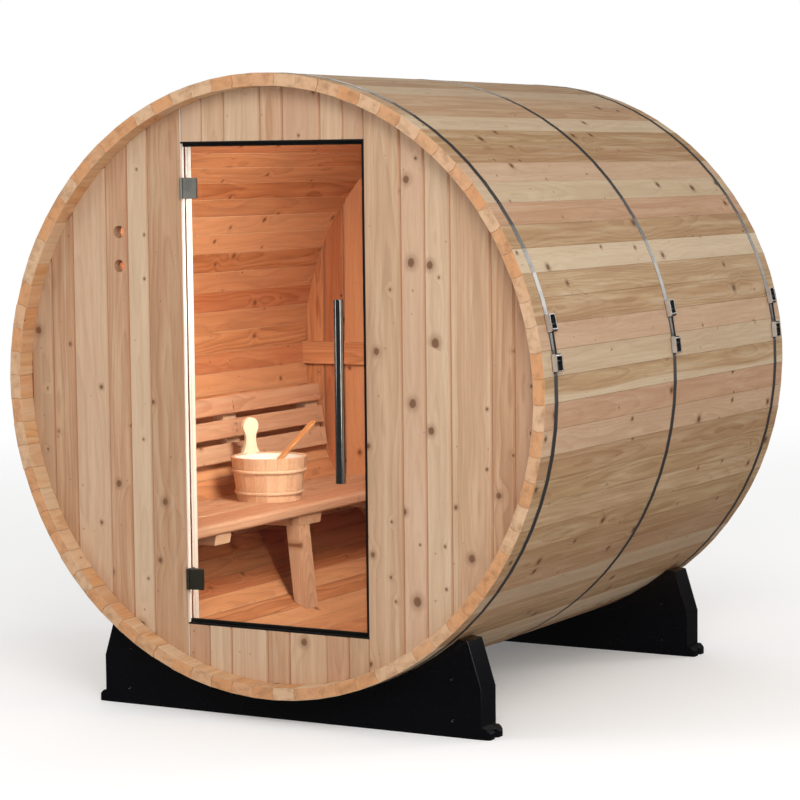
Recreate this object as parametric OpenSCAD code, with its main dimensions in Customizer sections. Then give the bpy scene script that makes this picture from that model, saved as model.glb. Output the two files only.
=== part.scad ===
// Barrel sauna: a round cabin of staves held by three steel bands on two moulded cradles,
// with a glass door, one bench with its backrest, and a water bucket with its ladle.
// Millimetres. +Z is up, the door faces -Y, and +X is to the right when facing the door.
// The origin is on the ground, below the middle of the barrel.

/* [Barrel] */
// Diameter across the flat outer faces of two opposite staves
barrel_d = 1829; // [1520:1:2200]
// Length of the staves
barrel_l = 1775; // [1450:5:2600]
// Thickness of the staves
stave_t = 38; // [30:1:50]
// How far each end wall stands back from the ends of the staves
wall_recess = 61; // [50:1:90]
// Thickness of the end walls
wall_t = 38; // [30:1:50]
// Free height under the barrel
barrel_lift = 80; // [60:1:160]
// How far the joint nearest the top is turned from the top, in degrees
joint_turn = 1.4; // [0:0.1:2.3]

/* [Bands and tensioners] */
// Width of a steel band
band_w = 22; // [14:1:28]
// Thickness of a steel band
band_t = 1.2; // [0.8:0.1:3]
// Distance from the ends of the staves to the middle of the end bands
band_inset = 70; // [55:1:120]
// Height of each tensioner's middle round the barrel, from level
tensioner_angle = 9.5; // [4:0.5:30]
// Distance between the two brackets of a tensioner
tensioner_span = 110; // [95:1:150]

/* [Doorway and door] */
// Width of the doorway
door_w = 627; // [520:1:760]
// Height of the doorway
door_h = 1442; // [1200:1:1500]
// Thickness of the glass
glass_t = 8; // [6:1:10]
// Gap between the edge of the glass and the doorway
door_gap = 11; // [8:1:16]
// Thickness of the frame boards behind the doorway
frame_t = 18; // [14:1:30]
// Width of the frame boards
frame_w = 64; // [40:1:90]
// Height of a hinge
hinge_h = 62; // [50:1:90]
// Distance from the top or the bottom of the doorway to the middle of a hinge
hinge_inset = 137; // [90:1:300]
// Width of the hinge's clamp plates on the glass
clamp_w = 46; // [36:1:60]
// Diameter of the door handle
handle_d = 28; // [18:1:32]
// Length of the door handle
handle_l = 530; // [300:5:800]
// Distance from the glass to the middle of the handle
handle_stand = 45; // [40:1:48]
// Distance from the free edge of the glass to the middle of the handle
handle_inset = 52; // [40:1:120]
// Slant of the handle's arms towards the hinges, in degrees
arm_lean = 30; // [0:1:35]

/* [Vent holes] */
// Diameter of the two holes in the front wall
vent_d = 38; // [20:1:60]
// Distance from the middle of the barrel to the holes
vent_x = 541; // [420:1:620]
// Height of the lower hole above the middle of the barrel
vent_z = 352; // [250:1:400]
// Distance between the two holes
vent_pitch = 102; // [80:1:140]

/* [Bench] */
// Depth of the bench's top below the middle of the barrel
bench_drop = 455; // [380:1:500]
// Distance from the middle of the barrel to the bench's front edge
bench_edge = 380; // [335:1:460]
// Thickness of the bench boards
board_t = 36; // [28:1:45]
// Width of each wide bench board
board_w = 140; // [110:1:168]
// Gap between two bench boards
board_gap = 3; // [2:1:10]
// Thickness of the cross battens below the boards
batten_t = 34; // [28:1:45]
// Width of the cross battens
batten_w = 88; // [60:1:120]
// Width of the middle batten, over the leg
mid_batten_w = 140; // [100:1:170]
// Width of the leg, along the barrel
leg_w = 70; // [50:1:88]
// Thickness of the leg
leg_t = 48; // [38:1:60]
// Lean of the leg towards the middle of the barrel, in degrees
leg_lean = 6; // [0:0.5:10]

/* [Backrest and rail] */
// Depth of the backrest's upper edge below the middle of the barrel
backrest_drop = 125; // [100:1:160]
// Distance from the staves to the backrest's upper front edge
backrest_stand = 66; // [60:1:90]
// Lean of the backrest, in degrees
backrest_lean = 9.3; // [6:0.1:10]
// Width of a backrest slat
slat_w = 62; // [45:1:75]
// Thickness of a backrest slat
slat_t = 22; // [16:1:26]
// Gap between two slats
slat_gap = 18; // [10:1:22]
// Gap between the ends of the slats and the end walls
slat_end_gap = 35; // [5:1:80]
// Height of the rail on the back wall
rail_h = 80; // [60:1:120]
// Thickness of the rail on the back wall
rail_t = 22; // [16:1:40]
// Depth of the rail's middle below the middle of the barrel
rail_drop = 19; // [0:1:60]

/* [Bucket and ladle] */
// Outside diameter at the rim
bucket_d = 256; // [220:1:300]
// Outside diameter at the bottom
bucket_foot_d = 212; // [180:1:250]
// Height of the rim
bucket_h = 147; // [125:1:185]
// Thickness of the wall
bucket_wall = 14; // [8:1:17]
// Distance of the bucket's middle from the bench's front edge
bucket_in = 185; // [160:1:215]
// Distance of the bucket's middle from the middle of the barrel's length
bucket_y = 37; // [-300:1:300]

/* [Cradles] */
// Thickness of a cradle, along the barrel
cradle_t = 90; // [70:1:130]
// Half of a cradle's width between its upright ends
cradle_half = 655; // [560:1:760]
// Half of the saddle's width
saddle_half = 580; // [480:1:640]
// Distance from the front ends of the staves to the front cradle
cradle_inset = 105; // [90:1:300]

/* [Hidden] */
GROUPS = 13;
STAVES_PER_GROUP = 6;
stave_count = GROUPS * STAVES_PER_GROUP;
step = 360 / stave_count;
// clearance between wooden pieces that rest against each other
seat = 0.3;
// clearance between a piece and its holder where one turns or slides in the other
run = 0.3;
pin_run = 0.05;
EPS = 0.01;

outer_r = barrel_d / 2;
inner_r = outer_r - stave_t;
axis_z = barrel_lift + outer_r;
front_y = -barrel_l / 2;
wall_front = front_y + wall_recess;
wall_inner = wall_front + wall_t;
back_inner = -wall_inner;
band_places = [front_y + band_inset, 0, -front_y - band_inset];
bracket_h = 50;
bracket_w = 34;
bracket_out = 16;
rod_r = 3;

glass_left = -door_w / 2 + door_gap + 1;
glass_right = door_w / 2 - door_gap;
glass_bottom = axis_z - door_h / 2 + door_gap;
glass_top = axis_z + door_h / 2 - door_gap;
glass_back = wall_front + glass_t;
seal_lip = 5;
seal_lap = 4;
seal_clear = 5;
seal_depth = 22;

// the hinge pin stands just in front of the wall, beside the doorway's left edge
knuckle_r = 5;
hinge_x = -door_w / 2 + knuckle_r;
hinge_y = wall_front - 8;
pin_r = 2.5;
leaf_t = 4;
leaf_depth = 40;
plate_t = 8;
plate_gap = 7;
// how much narrower the plate on the inside of the glass is
inner_plate_less = 10;
web_t = 1.5;
hinge_places = [axis_z + door_h / 2 - hinge_inset, axis_z - door_h / 2 + hinge_inset];

handle_x = glass_right - handle_inset;
// where the arms meet the glass
stud_x = handle_x - handle_stand * tan(arm_lean);
standoff_r = 8;
standoff_span = handle_l - 120;
stud_r = 5;
cap_r = 13;
cap_t = 7;

bench_z = axis_z - bench_drop;
board_under = bench_z - board_t;
batten_under = board_under - batten_t;
bench_front_y = wall_inner + seat;
bench_l = 2 * -bench_front_y;
back_board_start = bench_edge + 2 * (board_w + board_gap);
// middle and width of each batten; the middle one is wider and stands on the leg
battens = [[-510, batten_w], [12, mid_batten_w], [510, batten_w]];
batten_nose = 10;
batten_bevel = 5;
leg_y = battens[1][0] - (mid_batten_w - leg_w) / 2;
bearer_t = 38;
bearer_h = 60;

slat_l = 2 * (-wall_inner - slat_end_gap);
cleat_places = [-717, -182, 182, 717];
cleat_w = 80;
// where the backrest's upper front edge stands, and how high up the backrest is
backrest_z = axis_z - backrest_drop;
backrest_x = -sqrt(inner_r * inner_r - backrest_drop * backrest_drop) + backrest_stand;
backrest_h = 3 * slat_w + 2 * slat_gap;

bucket_x = -bench_edge - bucket_in;
bucket_floor = 12;
hoop_w = 11;
hoop_t = 5;
hoop_heights = [29, 101];
paddle_angle = 152.6;
paddle_t = 14;

ladle_turn = 68;
ladle_cup_r = 30;
ladle_cup_h = 42;
ladle_x = -52;
ladle_y = -30;
ladle_reach = 267;
stick_w = 24;
stick_t = 9;

foot_h = 34;
foot_out = 26;
cradle_shoulder_z = 283;
cradle_side_z = 145;
cradle_shoulder = 32;

WOOD = "burlywood";
INSIDE = "sandybrown";

// ---- shapes that repeat ----

// corner k of the stave polygon whose flat faces are r from the axis; corner 0 is near the top
function corner(r, k) = r / cos(step / 2)
    * [cos(90 + joint_turn + k * step), sin(90 + joint_turn + k * step)];

// the outline that all stave faces at distance r make together
function barrel_outline(r) = [for (k = [0:stave_count - 1]) corner(r, k)];

// extrudes an outline drawn in X and Z along Y, from y0 over length l
module along_barrel(y0, l) {
    translate([0, y0 + l, axis_z]) rotate([90, 0, 0]) linear_extrude(l) children();
}

module barrel_prism(r, y0, l) {
    along_barrel(y0, l) polygon(barrel_outline(r));
}

module block(x0, x1, y0, y1, z0, z1) {
    translate([x0, y0, z0]) cube([x1 - x0, y1 - y0, z1 - z0]);
}

// ---- barrel ----

module stave_group(g) {
    first = (g - 1) * STAVES_PER_GROUP - STAVES_PER_GROUP / 2;
    last = first + STAVES_PER_GROUP;
    color(WOOD) along_barrel(front_y, barrel_l) polygon(concat(
        [for (k = [first:last]) corner(outer_r, k)],
        [for (k = [last:-1:first]) corner(inner_r, k)]));
}

// one end wall as a full disc that fits inside the staves
module wall_disc(y0) {
    barrel_prism(inner_r - seat, y0, wall_t);
}

module front_wall_part(x0, x1, z0, z1) {
    color(WOOD) intersection() {
        wall_disc(wall_front);
        block(x0, x1, wall_front - 1, wall_inner + 1, z0, z1);
    }
}

module front_wall_left() {
    color(WOOD) difference() {
        front_wall_part(-outer_r, -door_w / 2, 0, axis_z + outer_r);
        for (i = [0, 1])
            translate([-vent_x, wall_inner + 1, axis_z + vent_z + i * vent_pitch])
                rotate([90, 0, 0]) cylinder(d = vent_d, h = wall_t + 2, $fn = 64);
    }
}

module front_wall_right() {
    front_wall_part(door_w / 2, outer_r, 0, axis_z + outer_r);
}

module front_wall_head() {
    front_wall_part(-door_w / 2, door_w / 2, axis_z + door_h / 2, axis_z + outer_r);
}

module front_wall_sill() {
    front_wall_part(-door_w / 2, door_w / 2, 0, axis_z - door_h / 2);
}

module back_wall() {
    color(WOOD) wall_disc(back_inner);
}

module back_wall_rail() {
    color(INSIDE) intersection() {
        barrel_prism(inner_r - seat, back_inner - rail_t, rail_t);
        block(-outer_r, outer_r, back_inner - rail_t - 1, back_inner + 1,
            axis_z - rail_drop - rail_h / 2, axis_z - rail_drop + rail_h / 2);
    }
}

// ---- door frame, seal and door ----

// the upright boards stop short of the bench's front edge
module frame_upright(side) {
    x0 = side * door_w / 2;
    x1 = side * min(door_w / 2 + frame_w, bench_edge - 2);
    color(INSIDE) intersection() {
        barrel_prism(inner_r - seat, wall_inner, frame_t);
        block(min(x0, x1), max(x0, x1), wall_inner, wall_inner + frame_t,
            axis_z - door_h / 2 - frame_w, axis_z + door_h / 2 + frame_w);
    }
}

module frame_crossbar(z0, z1) {
    color(INSIDE) block(-door_w / 2, door_w / 2, wall_inner, wall_inner + frame_t, z0, z1);
}

module door_frame_left() {
    frame_upright(-1);
}

module door_frame_right() {
    frame_upright(1);
}

module door_frame_head() {
    frame_crossbar(axis_z + door_h / 2, axis_z + door_h / 2 + frame_w);
}

module door_frame_sill() {
    frame_crossbar(axis_z - door_h / 2 - frame_w, axis_z - door_h / 2);
}

// a frame with its left side open, whose inner edge is inset from the doorway by edge
module seal_ring(edge, y0, y1) {
    low = axis_z - door_h / 2;
    high = axis_z + door_h / 2;
    right = door_w / 2;
    block(-right, right, y0, y1, low, low + edge);
    block(-right, right, y0, y1, high - edge, high);
    block(right - edge, right, y0, y1, low, high);
}

module door_seal() {
    color("black") union() {
        seal_ring(seal_lip, wall_front, wall_front + seal_depth);
        seal_ring(door_gap + seal_lap, glass_back + seal_clear, wall_front + seal_depth);
    }
}

module door_glass() {
    color("lightblue", 0.4) difference() {
        block(glass_left, glass_right, wall_front, glass_back, glass_bottom, glass_top);
        for (z = handle_studs())
            translate([stud_x, glass_back + 1, z]) rotate([90, 0, 0])
                cylinder(r = stud_r + run, h = glass_t + 2, $fn = 32);
    }
}

function handle_studs() = [axis_z - standoff_span / 2, axis_z + standoff_span / 2];

module door_handle() {
    color("silver") union() {
        translate([handle_x, wall_front - handle_stand, axis_z - handle_l / 2])
            cylinder(d = handle_d, h = handle_l, $fn = 48);
        for (z = handle_studs()) {
            // from the tube to the glass
            intersection() {
                translate([handle_x, wall_front - handle_stand, z]) rotate([-90, 0, arm_lean])
                    cylinder(r = standoff_r, h = handle_stand / cos(arm_lean) + standoff_r, $fn = 32);
                block(stud_x - 50, handle_x + 50, wall_front - handle_stand - 50, wall_front,
                    z - 50, z + 50);
            }
            // through the glass
            translate([stud_x, glass_back + 1, z]) rotate([90, 0, 0])
                cylinder(r = stud_r, h = glass_t + 2, $fn = 32);
            // round cap on the inside
            translate([stud_x, glass_back + cap_t, z]) rotate([90, 0, 0])
                cylinder(r = cap_r, h = cap_t, $fn = 32);
        }
    }
}

module hinge_barrel(z0, z1, r = knuckle_r) {
    translate([hinge_x, hinge_y, z0]) cylinder(r = r, h = z1 - z0, $fn = 32);
}

// the half that is screwed to the doorway's edge, with the pin
module hinge_leaf(z) {
    low = z - hinge_h / 2;
    third = hinge_h / 3;
    difference() {
        union() {
            block(-door_w / 2, -door_w / 2 + leaf_t, hinge_y, hinge_y + leaf_depth, low, low + hinge_h);
            hinge_barrel(low, low + third);
            hinge_barrel(low + 2 * third, low + hinge_h);
        }
        hinge_barrel(low + third, low + 2 * third, knuckle_r + run);
    }
    hinge_barrel(low + 1, low + hinge_h - 1, pin_r);
}

// the half that clamps the glass between two plates
module hinge_clamp(z) {
    low = z - hinge_h / 2;
    third = hinge_h / 3;
    plate_x = hinge_x + plate_gap;
    difference() {
        union() {
            hinge_barrel(low + third + run, low + 2 * third - run);
            block(hinge_x, plate_x + 1, hinge_y, hinge_y + knuckle_r,
                low + third + run, low + 2 * third - run);
        }
        hinge_barrel(low, low + hinge_h, pin_r + pin_run);
    }
    block(plate_x, plate_x + clamp_w, wall_front - plate_t, wall_front, low, low + hinge_h);
    block(plate_x, plate_x + clamp_w - inner_plate_less, glass_back, glass_back + plate_t,
        low, low + hinge_h);
    // the web that joins the two plates beside the edge of the glass
    block(plate_x - web_t, glass_left, wall_front - plate_t, glass_back + plate_t, low, low + hinge_h);
}

module hinge_leaves() {
    color("dimgray") for (z = hinge_places) hinge_leaf(z);
}

module hinge_clamps() {
    color("gray") for (z = hinge_places) hinge_clamp(z);
}

// ---- bands and tensioners ----

module band(i) {
    color("dimgray") difference() {
        barrel_prism(outer_r + band_t, band_places[i] - band_w / 2, band_w);
        barrel_prism(outer_r, band_places[i] - band_w / 2 - 1, band_w + 2);
    }
}

// two brackets that sit on the band, each square to the barrel, and the rod between them
module tensioner(side, y) {
    face = outer_r / cos(step / 2) + band_t + seat;
    half_angle = asin(tensioner_span / 2 / face);
    rod_out = (face + bracket_out / 2) * cos(half_angle);
    rod_half = (face + bracket_out / 2) * sin(half_angle);
    translate([0, y, axis_z]) rotate([0, side > 0 ? -tensioner_angle : 180 + tensioner_angle, 0]) {
        for (s = [-1, 1])
            rotate([0, -s * half_angle, 0]) translate([face, -bracket_w / 2, -bracket_h / 2])
                cube([bracket_out, bracket_w, bracket_h]);
        translate([rod_out, 0, -rod_half]) cylinder(r = rod_r, h = 2 * rod_half, $fn = 24);
    }
}

module tensioners(side) {
    color("silver") for (y = band_places) tensioner(side, y);
}

// ---- cradles ----

// outline of the cradle's right half, in X and height above the ground
function cradle_side() = [
    [0, 0], [cradle_half, 0], [cradle_half, cradle_side_z],
    [saddle_half + cradle_shoulder, cradle_shoulder_z],
    [saddle_half, cradle_shoulder_z + 4], [saddle_half, outer_r], [0, outer_r]
];

module cradle(y0) {
    color([0.06, 0.06, 0.07]) union() {
        difference() {
            translate([0, y0 + cradle_t, 0]) rotate([90, 0, 0]) linear_extrude(cradle_t) polygon(concat(
                cradle_side(), [for (i = [len(cradle_side()) - 1:-1:1]) mirrored(cradle_side()[i])]));
            barrel_prism(outer_r + seat, y0 - 1, cradle_t + 2);
        }
        for (side = [-1, 1])
            translate([side * (cradle_half + foot_out / 2), y0 + cradle_t / 2, foot_h / 2])
                cube([foot_out + EPS, cradle_t * 0.96, foot_h], center = true);
    }
}

function mirrored(p) = [-p[0], p[1]];

module cradle_front() {
    cradle(front_y + cradle_inset);
}

module cradle_rear() {
    cradle(-front_y - cradle_inset - cradle_t);
}

// ---- bench ----

module bench_boards() {
    color(INSIDE) {
        for (i = [0, 1])
            block(-bench_edge - i * (board_w + board_gap) - board_w,
                -bench_edge - i * (board_w + board_gap),
                bench_front_y, bench_front_y + bench_l, board_under, bench_z);
        // the last board runs back to the curved staves
        intersection() {
            barrel_prism(inner_r - seat, bench_front_y, bench_l);
            block(-outer_r, -back_board_start, bench_front_y, bench_front_y + bench_l,
                board_under, bench_z);
        }
    }
}

module bench_battens() {
    color(INSIDE) intersection() {
        barrel_prism(inner_r - seat, wall_inner, 2 * back_inner);
        for (b = battens)
            translate([0, b[0] + b[1] / 2, 0]) rotate([90, 0, 0]) linear_extrude(b[1]) polygon([
                [-outer_r, board_under], [-bench_edge - batten_nose, board_under],
                [-bench_edge - batten_nose - batten_bevel, batten_under], [-outer_r, batten_under]]);
    }
}

module bench_leg() {
    top_x = -bench_edge - batten_nose - batten_bevel - leg_t / 2;
    color(INSIDE) intersection() {
        barrel_prism(inner_r - seat, wall_inner, 2 * back_inner);
        block(-outer_r, 0, wall_inner, back_inner, 0, batten_under);
        translate([top_x, leg_y, batten_under]) rotate([0, -leg_lean, 0])
            translate([-leg_t / 2, -leg_w / 2, -outer_r]) cube([leg_t, leg_w, outer_r + 100]);
    }
}

// boards on the end walls that carry the ends of the bench
module bench_bearers() {
    color(INSIDE) for (y = [wall_inner, back_inner - bearer_t])
        intersection() {
            barrel_prism(inner_r - seat, y, bearer_t);
            block(-outer_r, -bench_edge - 40, y, y + bearer_t, board_under - bearer_h, board_under);
        }
}

// ---- backrest ----

// places children on the leaning plane: X across it (0 is the front face), Z down from its upper edge
module on_backrest() {
    translate([backrest_x, 0, backrest_z]) rotate([0, -backrest_lean, 0]) children();
}

module backrest_slats() {
    color(INSIDE) on_backrest() for (i = [0:2])
        translate([-slat_t, -slat_l / 2, -slat_w - i * (slat_w + slat_gap)])
            cube([slat_t, slat_l, slat_w]);
}

module backrest_cleats() {
    color(INSIDE) intersection() {
        barrel_prism(inner_r - seat, wall_inner, 2 * back_inner);
        on_backrest() for (y = cleat_places)
            translate([-slat_t - 100, y - cleat_w / 2, -backrest_h])
                cube([100, cleat_w, backrest_h]);
    }
}

// ---- bucket and ladle ----

function bucket_r(z) = bucket_foot_d / 2 + (bucket_d - bucket_foot_d) / 2 * z / bucket_h;

module on_bench() {
    translate([bucket_x, bucket_y, bench_z]) children();
}

module bucket() {
    color("bisque") on_bench() union() {
        rotate_extrude($fn = 72) polygon([
            [0, 0], [bucket_r(0), 0], [bucket_r(bucket_h), bucket_h],
            [bucket_r(bucket_h) - bucket_wall, bucket_h],
            [bucket_r(bucket_floor) - bucket_wall, bucket_floor], [0, bucket_floor]]);
        rotate([0, 0, paddle_angle]) translate([bucket_d / 2 - bucket_wall / 2 - paddle_t / 2, 0, 0])
            rotate([90, 0, 90]) linear_extrude(paddle_t) polygon(paddle_outline());
    }
}

// outline of the raised stave: a flared foot, a neck and a round knob
knob_r = 29;
neck_half = 18;
paddle_foot_half = 34;
paddle_rise = 118;
function paddle_side() = concat(
    [[paddle_foot_half, bucket_h - 6], [paddle_foot_half - 8, bucket_h + 10],
     [neck_half + 1, bucket_h + 34], [neck_half, bucket_h + 50], [neck_half + 3, bucket_h + 66]],
    [for (a = [-15:15:90]) [knob_r * cos(a), bucket_h + paddle_rise - knob_r + knob_r * sin(a)]]);
function paddle_outline() = concat(
    paddle_side(), [for (i = [len(paddle_side()) - 2:-1:0]) mirrored(paddle_side()[i])]);

module bucket_hoops() {
    color("bisque") on_bench() for (z = hoop_heights)
        rotate_extrude($fn = 72) polygon([
            [bucket_r(z - hoop_w / 2) + run, z - hoop_w / 2],
            [bucket_r(z - hoop_w / 2) + hoop_t - 1, z - hoop_w / 2],
            [bucket_r(z) + hoop_t, z],
            [bucket_r(z + hoop_w / 2) + hoop_t - 1, z + hoop_w / 2],
            [bucket_r(z + hoop_w / 2) + run, z + hoop_w / 2]]);
}

// the ladle stands on the bucket's floor and leans over its rim
ladle_rest = bucket_floor + seat;
ladle_lip = ladle_rest + ladle_cup_h;
// distance from the cup's middle to the rim's inner edge, in the stick's direction
ladle_dir = [cos(ladle_turn), sin(ladle_turn)];
ladle_dot = ladle_x * ladle_dir[0] + ladle_y * ladle_dir[1];
rim_inner = bucket_d / 2 - bucket_wall;
rim_run = -ladle_dot + sqrt(ladle_dot * ladle_dot - ladle_x * ladle_x - ladle_y * ladle_y
    + rim_inner * rim_inner);
stick_start = ladle_cup_r - 4;
stick_rise = bucket_h + 4 - ladle_lip + stick_t;
ladle_tilt = atan(stick_rise / (rim_run - stick_start));
stick_l = (ladle_reach - stick_start) / cos(ladle_tilt);

module ladle() {
    color("peru") on_bench() translate([ladle_x, ladle_y, 0]) rotate([0, 0, ladle_turn]) union() {
        translate([0, 0, ladle_rest]) difference() {
            cylinder(r = ladle_cup_r, h = ladle_cup_h, $fn = 48);
            translate([0, 0, 5]) cylinder(r = ladle_cup_r - 5, h = ladle_cup_h, $fn = 48);
        }
        translate([stick_start, 0, ladle_lip - stick_t]) rotate([0, -ladle_tilt, 0])
            translate([0, -stick_w / 2, 0]) cube([stick_l, stick_w, stick_t]);
    }
}

stave_group(1);  // staves_01
stave_group(2);  // staves_02
stave_group(3);  // staves_03
stave_group(4);  // staves_04
stave_group(5);  // staves_05
stave_group(6);  // staves_06
stave_group(7);  // staves_07
stave_group(8);  // staves_08
stave_group(9);  // staves_09
stave_group(10);  // staves_10
stave_group(11);  // staves_11
stave_group(12);  // staves_12
stave_group(13);  // staves_13
front_wall_left();
front_wall_right();
front_wall_head();
front_wall_sill();
door_frame_left();
door_frame_right();
door_frame_head();
door_frame_sill();
door_seal();
back_wall();
back_wall_rail();
door_glass();
door_handle();
hinge_clamps();
hinge_leaves();
band(0);  // band_front
band(1);  // band_middle
band(2);  // band_rear
tensioners(1);  // tensioners_right
tensioners(-1);  // tensioners_left
cradle_front();
cradle_rear();
bench_boards();
bench_battens();
bench_leg();
bench_bearers();
backrest_slats();
backrest_cleats();
bucket();
bucket_hoops();
ladle();
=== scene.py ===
"""Barrel sauna: staves, end walls, glass door, bench, bucket, bands and cradles."""

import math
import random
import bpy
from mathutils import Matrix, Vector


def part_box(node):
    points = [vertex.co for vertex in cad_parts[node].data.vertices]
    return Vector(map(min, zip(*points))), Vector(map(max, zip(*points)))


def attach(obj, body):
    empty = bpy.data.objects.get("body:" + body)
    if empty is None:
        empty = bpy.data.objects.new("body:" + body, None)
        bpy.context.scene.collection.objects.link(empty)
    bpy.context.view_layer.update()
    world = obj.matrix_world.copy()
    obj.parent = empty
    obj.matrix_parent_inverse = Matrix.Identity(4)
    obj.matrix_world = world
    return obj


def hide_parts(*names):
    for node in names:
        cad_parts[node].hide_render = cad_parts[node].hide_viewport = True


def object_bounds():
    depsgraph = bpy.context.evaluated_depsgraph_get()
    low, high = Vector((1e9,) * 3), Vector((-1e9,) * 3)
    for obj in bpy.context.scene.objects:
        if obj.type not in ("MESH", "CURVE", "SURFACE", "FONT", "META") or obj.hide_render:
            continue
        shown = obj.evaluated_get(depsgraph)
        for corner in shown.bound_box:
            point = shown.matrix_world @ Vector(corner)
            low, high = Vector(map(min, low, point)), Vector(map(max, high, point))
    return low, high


bl_info = {
    "name": "Barrel Sauna",
    "version": (1, 0, 0),
    "blender": (4, 2, 0),
    "location": "View3D > Sidebar > Sauna",
    "description": "Builds a barrel sauna piece by piece on its packed frame",
    "category": "Add Mesh",
}

import bmesh
import bpy
import numpy as np
from bpy.props import FloatProperty, FloatVectorProperty, IntProperty, PointerProperty
from mathutils import Matrix, Vector

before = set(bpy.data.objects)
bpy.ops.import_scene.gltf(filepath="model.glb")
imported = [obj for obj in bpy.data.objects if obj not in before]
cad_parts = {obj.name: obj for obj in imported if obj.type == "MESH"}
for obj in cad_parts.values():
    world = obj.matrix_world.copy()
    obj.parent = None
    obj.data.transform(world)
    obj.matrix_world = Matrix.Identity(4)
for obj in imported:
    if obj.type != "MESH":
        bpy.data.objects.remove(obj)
CAD_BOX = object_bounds()

X, Y, Z = Vector((1, 0, 0)), Vector((0, 1, 0)), Vector((0, 0, 1))


def tint(red, green, blue):
    """A colour given as on screen, 0 to 255, in the values that shaders use."""
    def linear(level):
        return level / 12.92 if level <= 0.04045 else ((level + 0.055) / 1.055) ** 2.4
    return tuple(linear(c / 255) for c in (red, green, blue))


# ---- the frame's own sizes ----

STAVES = 78
GROUPS = 13
STEP = 2 * math.pi / STAVES
FRONT, REAR = CAD_BOX[0][1], CAD_BOX[1][1]
FRONT_WALL, BACK_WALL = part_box("front_wall_left"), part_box("back_wall")
DOORWAY_LEFT, DOORWAY_RIGHT = FRONT_WALL[1][0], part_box("front_wall_right")[0][0]
DOORWAY_LOW, DOORWAY_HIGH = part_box("front_wall_sill")[1][2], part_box("front_wall_head")[0][2]
AXIS = Vector((0, 0, (DOORWAY_LOW + DOORWAY_HIGH) / 2))
# the play between a piece and the staves it lies against
SEAT = 0.0003
# half the gap between two boards
GAP = 0.0002
STAVE_T = 0.038
OUTER = 0.9145
INNER = OUTER - STAVE_T
# the joint nearest the top stands this far round from it
JOINT_TURN = math.radians(1.4)


def length(name, description, default, low, high):
    return FloatProperty(name=name, description=description, default=default, min=low, max=high,
                         subtype="DISTANCE", unit="LENGTH")


def colour(name, description, *levels):
    return FloatVectorProperty(name=name, description=description, default=tint(*levels),
                               min=0, max=1, subtype="COLOR")


def power(name, description, default):
    return FloatProperty(name=name, description=description, default=default, min=0, unit="POWER")


class SaunaSizes(bpy.types.PropertyGroup):
    """Sizes of the details that the frame leaves out."""

    joint_arc: length(
        "Stave joint", "How far a stave's rounded edge stands into its neighbour", 0.0042, 0, 0.01)
    stave_edge: length("Stave edge", "Rounding of a stave's long edges", 0.0011, 0.0002, 0.004)
    stave_uneven: length(
        "Uneven ends", "How much shorter than the longest a stave may be at each end",
        0.0032, 0, 0.01)
    v_joint: length(
        "V-joint", "Depth of the chamfer on each long edge of a wall board", 0.0052, 0.001, 0.008)
    bench_nose: length("Bench nose", "Rounding of the bench's front edge", 0.011, 0.002, 0.016)
    bucket_staves: IntProperty(
        name="Bucket staves", description="Number of staves round the bucket", default=20,
        min=8, max=36)
    seed: IntProperty(
        name="Seed", description="Chooses the grain of every board", default=7, min=0)


class SaunaColours(bpy.types.PropertyGroup):
    """Colours of the wood and of the cradles."""

    stave: colour("Stave", "Staves, between the growth rings", 186, 153, 113)
    stave_ring: colour("Stave ring", "Growth rings of the staves", 140, 97, 58)
    wall: colour("Wall", "End wall boards, between the growth rings", 196, 156, 122)
    wall_ring: colour("Wall ring", "Growth rings of the end wall boards", 154, 112, 80)
    cedar: colour(
        "Cedar", "Bench, backrest and frame boards, between the growth rings", 204, 152, 112)
    cedar_ring: colour("Cedar ring", "Growth rings of the bench and the backrest", 160, 96, 60)
    # the inside faces of the same staves and wall boards, and the rail, get a redder, more orange
    # copy of the wood: painted warm cabin light over the real grain
    heart: colour("Painted warm-light wood", "Inside of the barrel, between the growth rings", 198, 132, 86)
    painted_warm_light_ring: colour("Painted warm-light wood ring", "Growth rings inside the barrel", 142, 78, 42)
    pale: colour("Sapwood", "The palest boards", 216, 198, 170)
    blush: colour("Heartwood", "The pinkest boards", 198, 150, 124)
    knot: colour("Knot", "Middle of a knot", 104, 64, 42)
    cradle: colour("Cradle", "Moulded plastic of the cradles", 6, 6, 11)


class SaunaStage(bpy.types.PropertyGroup):
    """Lights round the sauna and inside it."""

    key: power("Key light", "Power of the large light at the right", 245)
    fill: power("Fill light", "Power of the large light at the left", 58)
    side: power("Side light", "Power of the light behind, at the right", 64)
    cabin: power("Cabin light", "Power of the warm light inside", 12)
    sky: FloatProperty(
        name="Sky", description="Strength of the even light from all sides", default=0.6, min=0)


# ---- modelling ----

# points nearer than this to a plane lie on it
CLOSE = 1e-6
# more cuts than any piece needs
MOST_CUTS = 40


def deselect():
    """Leaves edit mode and selects nothing."""
    if bpy.context.object and bpy.context.object.mode != "OBJECT":
        bpy.ops.object.mode_set(mode="OBJECT")
    bpy.ops.object.select_all(action="DESELECT")


def activate(piece):
    deselect()
    piece.select_set(True)
    bpy.context.view_layer.objects.active = piece
    return piece


def placed(name):
    """Names the new primitive and puts its place into its mesh."""
    piece = bpy.context.object
    piece.name = piece.data.name = name
    bpy.ops.object.transform_apply(location=True, rotation=True, scale=True)
    return piece


def block(name, low, high):
    """A box between two corners."""
    deselect()
    low, high = Vector(low), Vector(high)
    bpy.ops.mesh.primitive_cube_add(size=1, location=(low + high) / 2, scale=high - low)
    return placed(name)


def rod(name, start, end, radius, sides=32):
    """A round bar from one point to another."""
    deselect()
    start, end = Vector(start), Vector(end)
    turn = (end - start).to_track_quat("Z", "Y").to_euler()
    bpy.ops.mesh.primitive_cylinder_add(
        vertices=sides, radius=radius, depth=(end - start).length,
        location=(start + end) / 2, rotation=turn)
    return placed(name)


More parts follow.
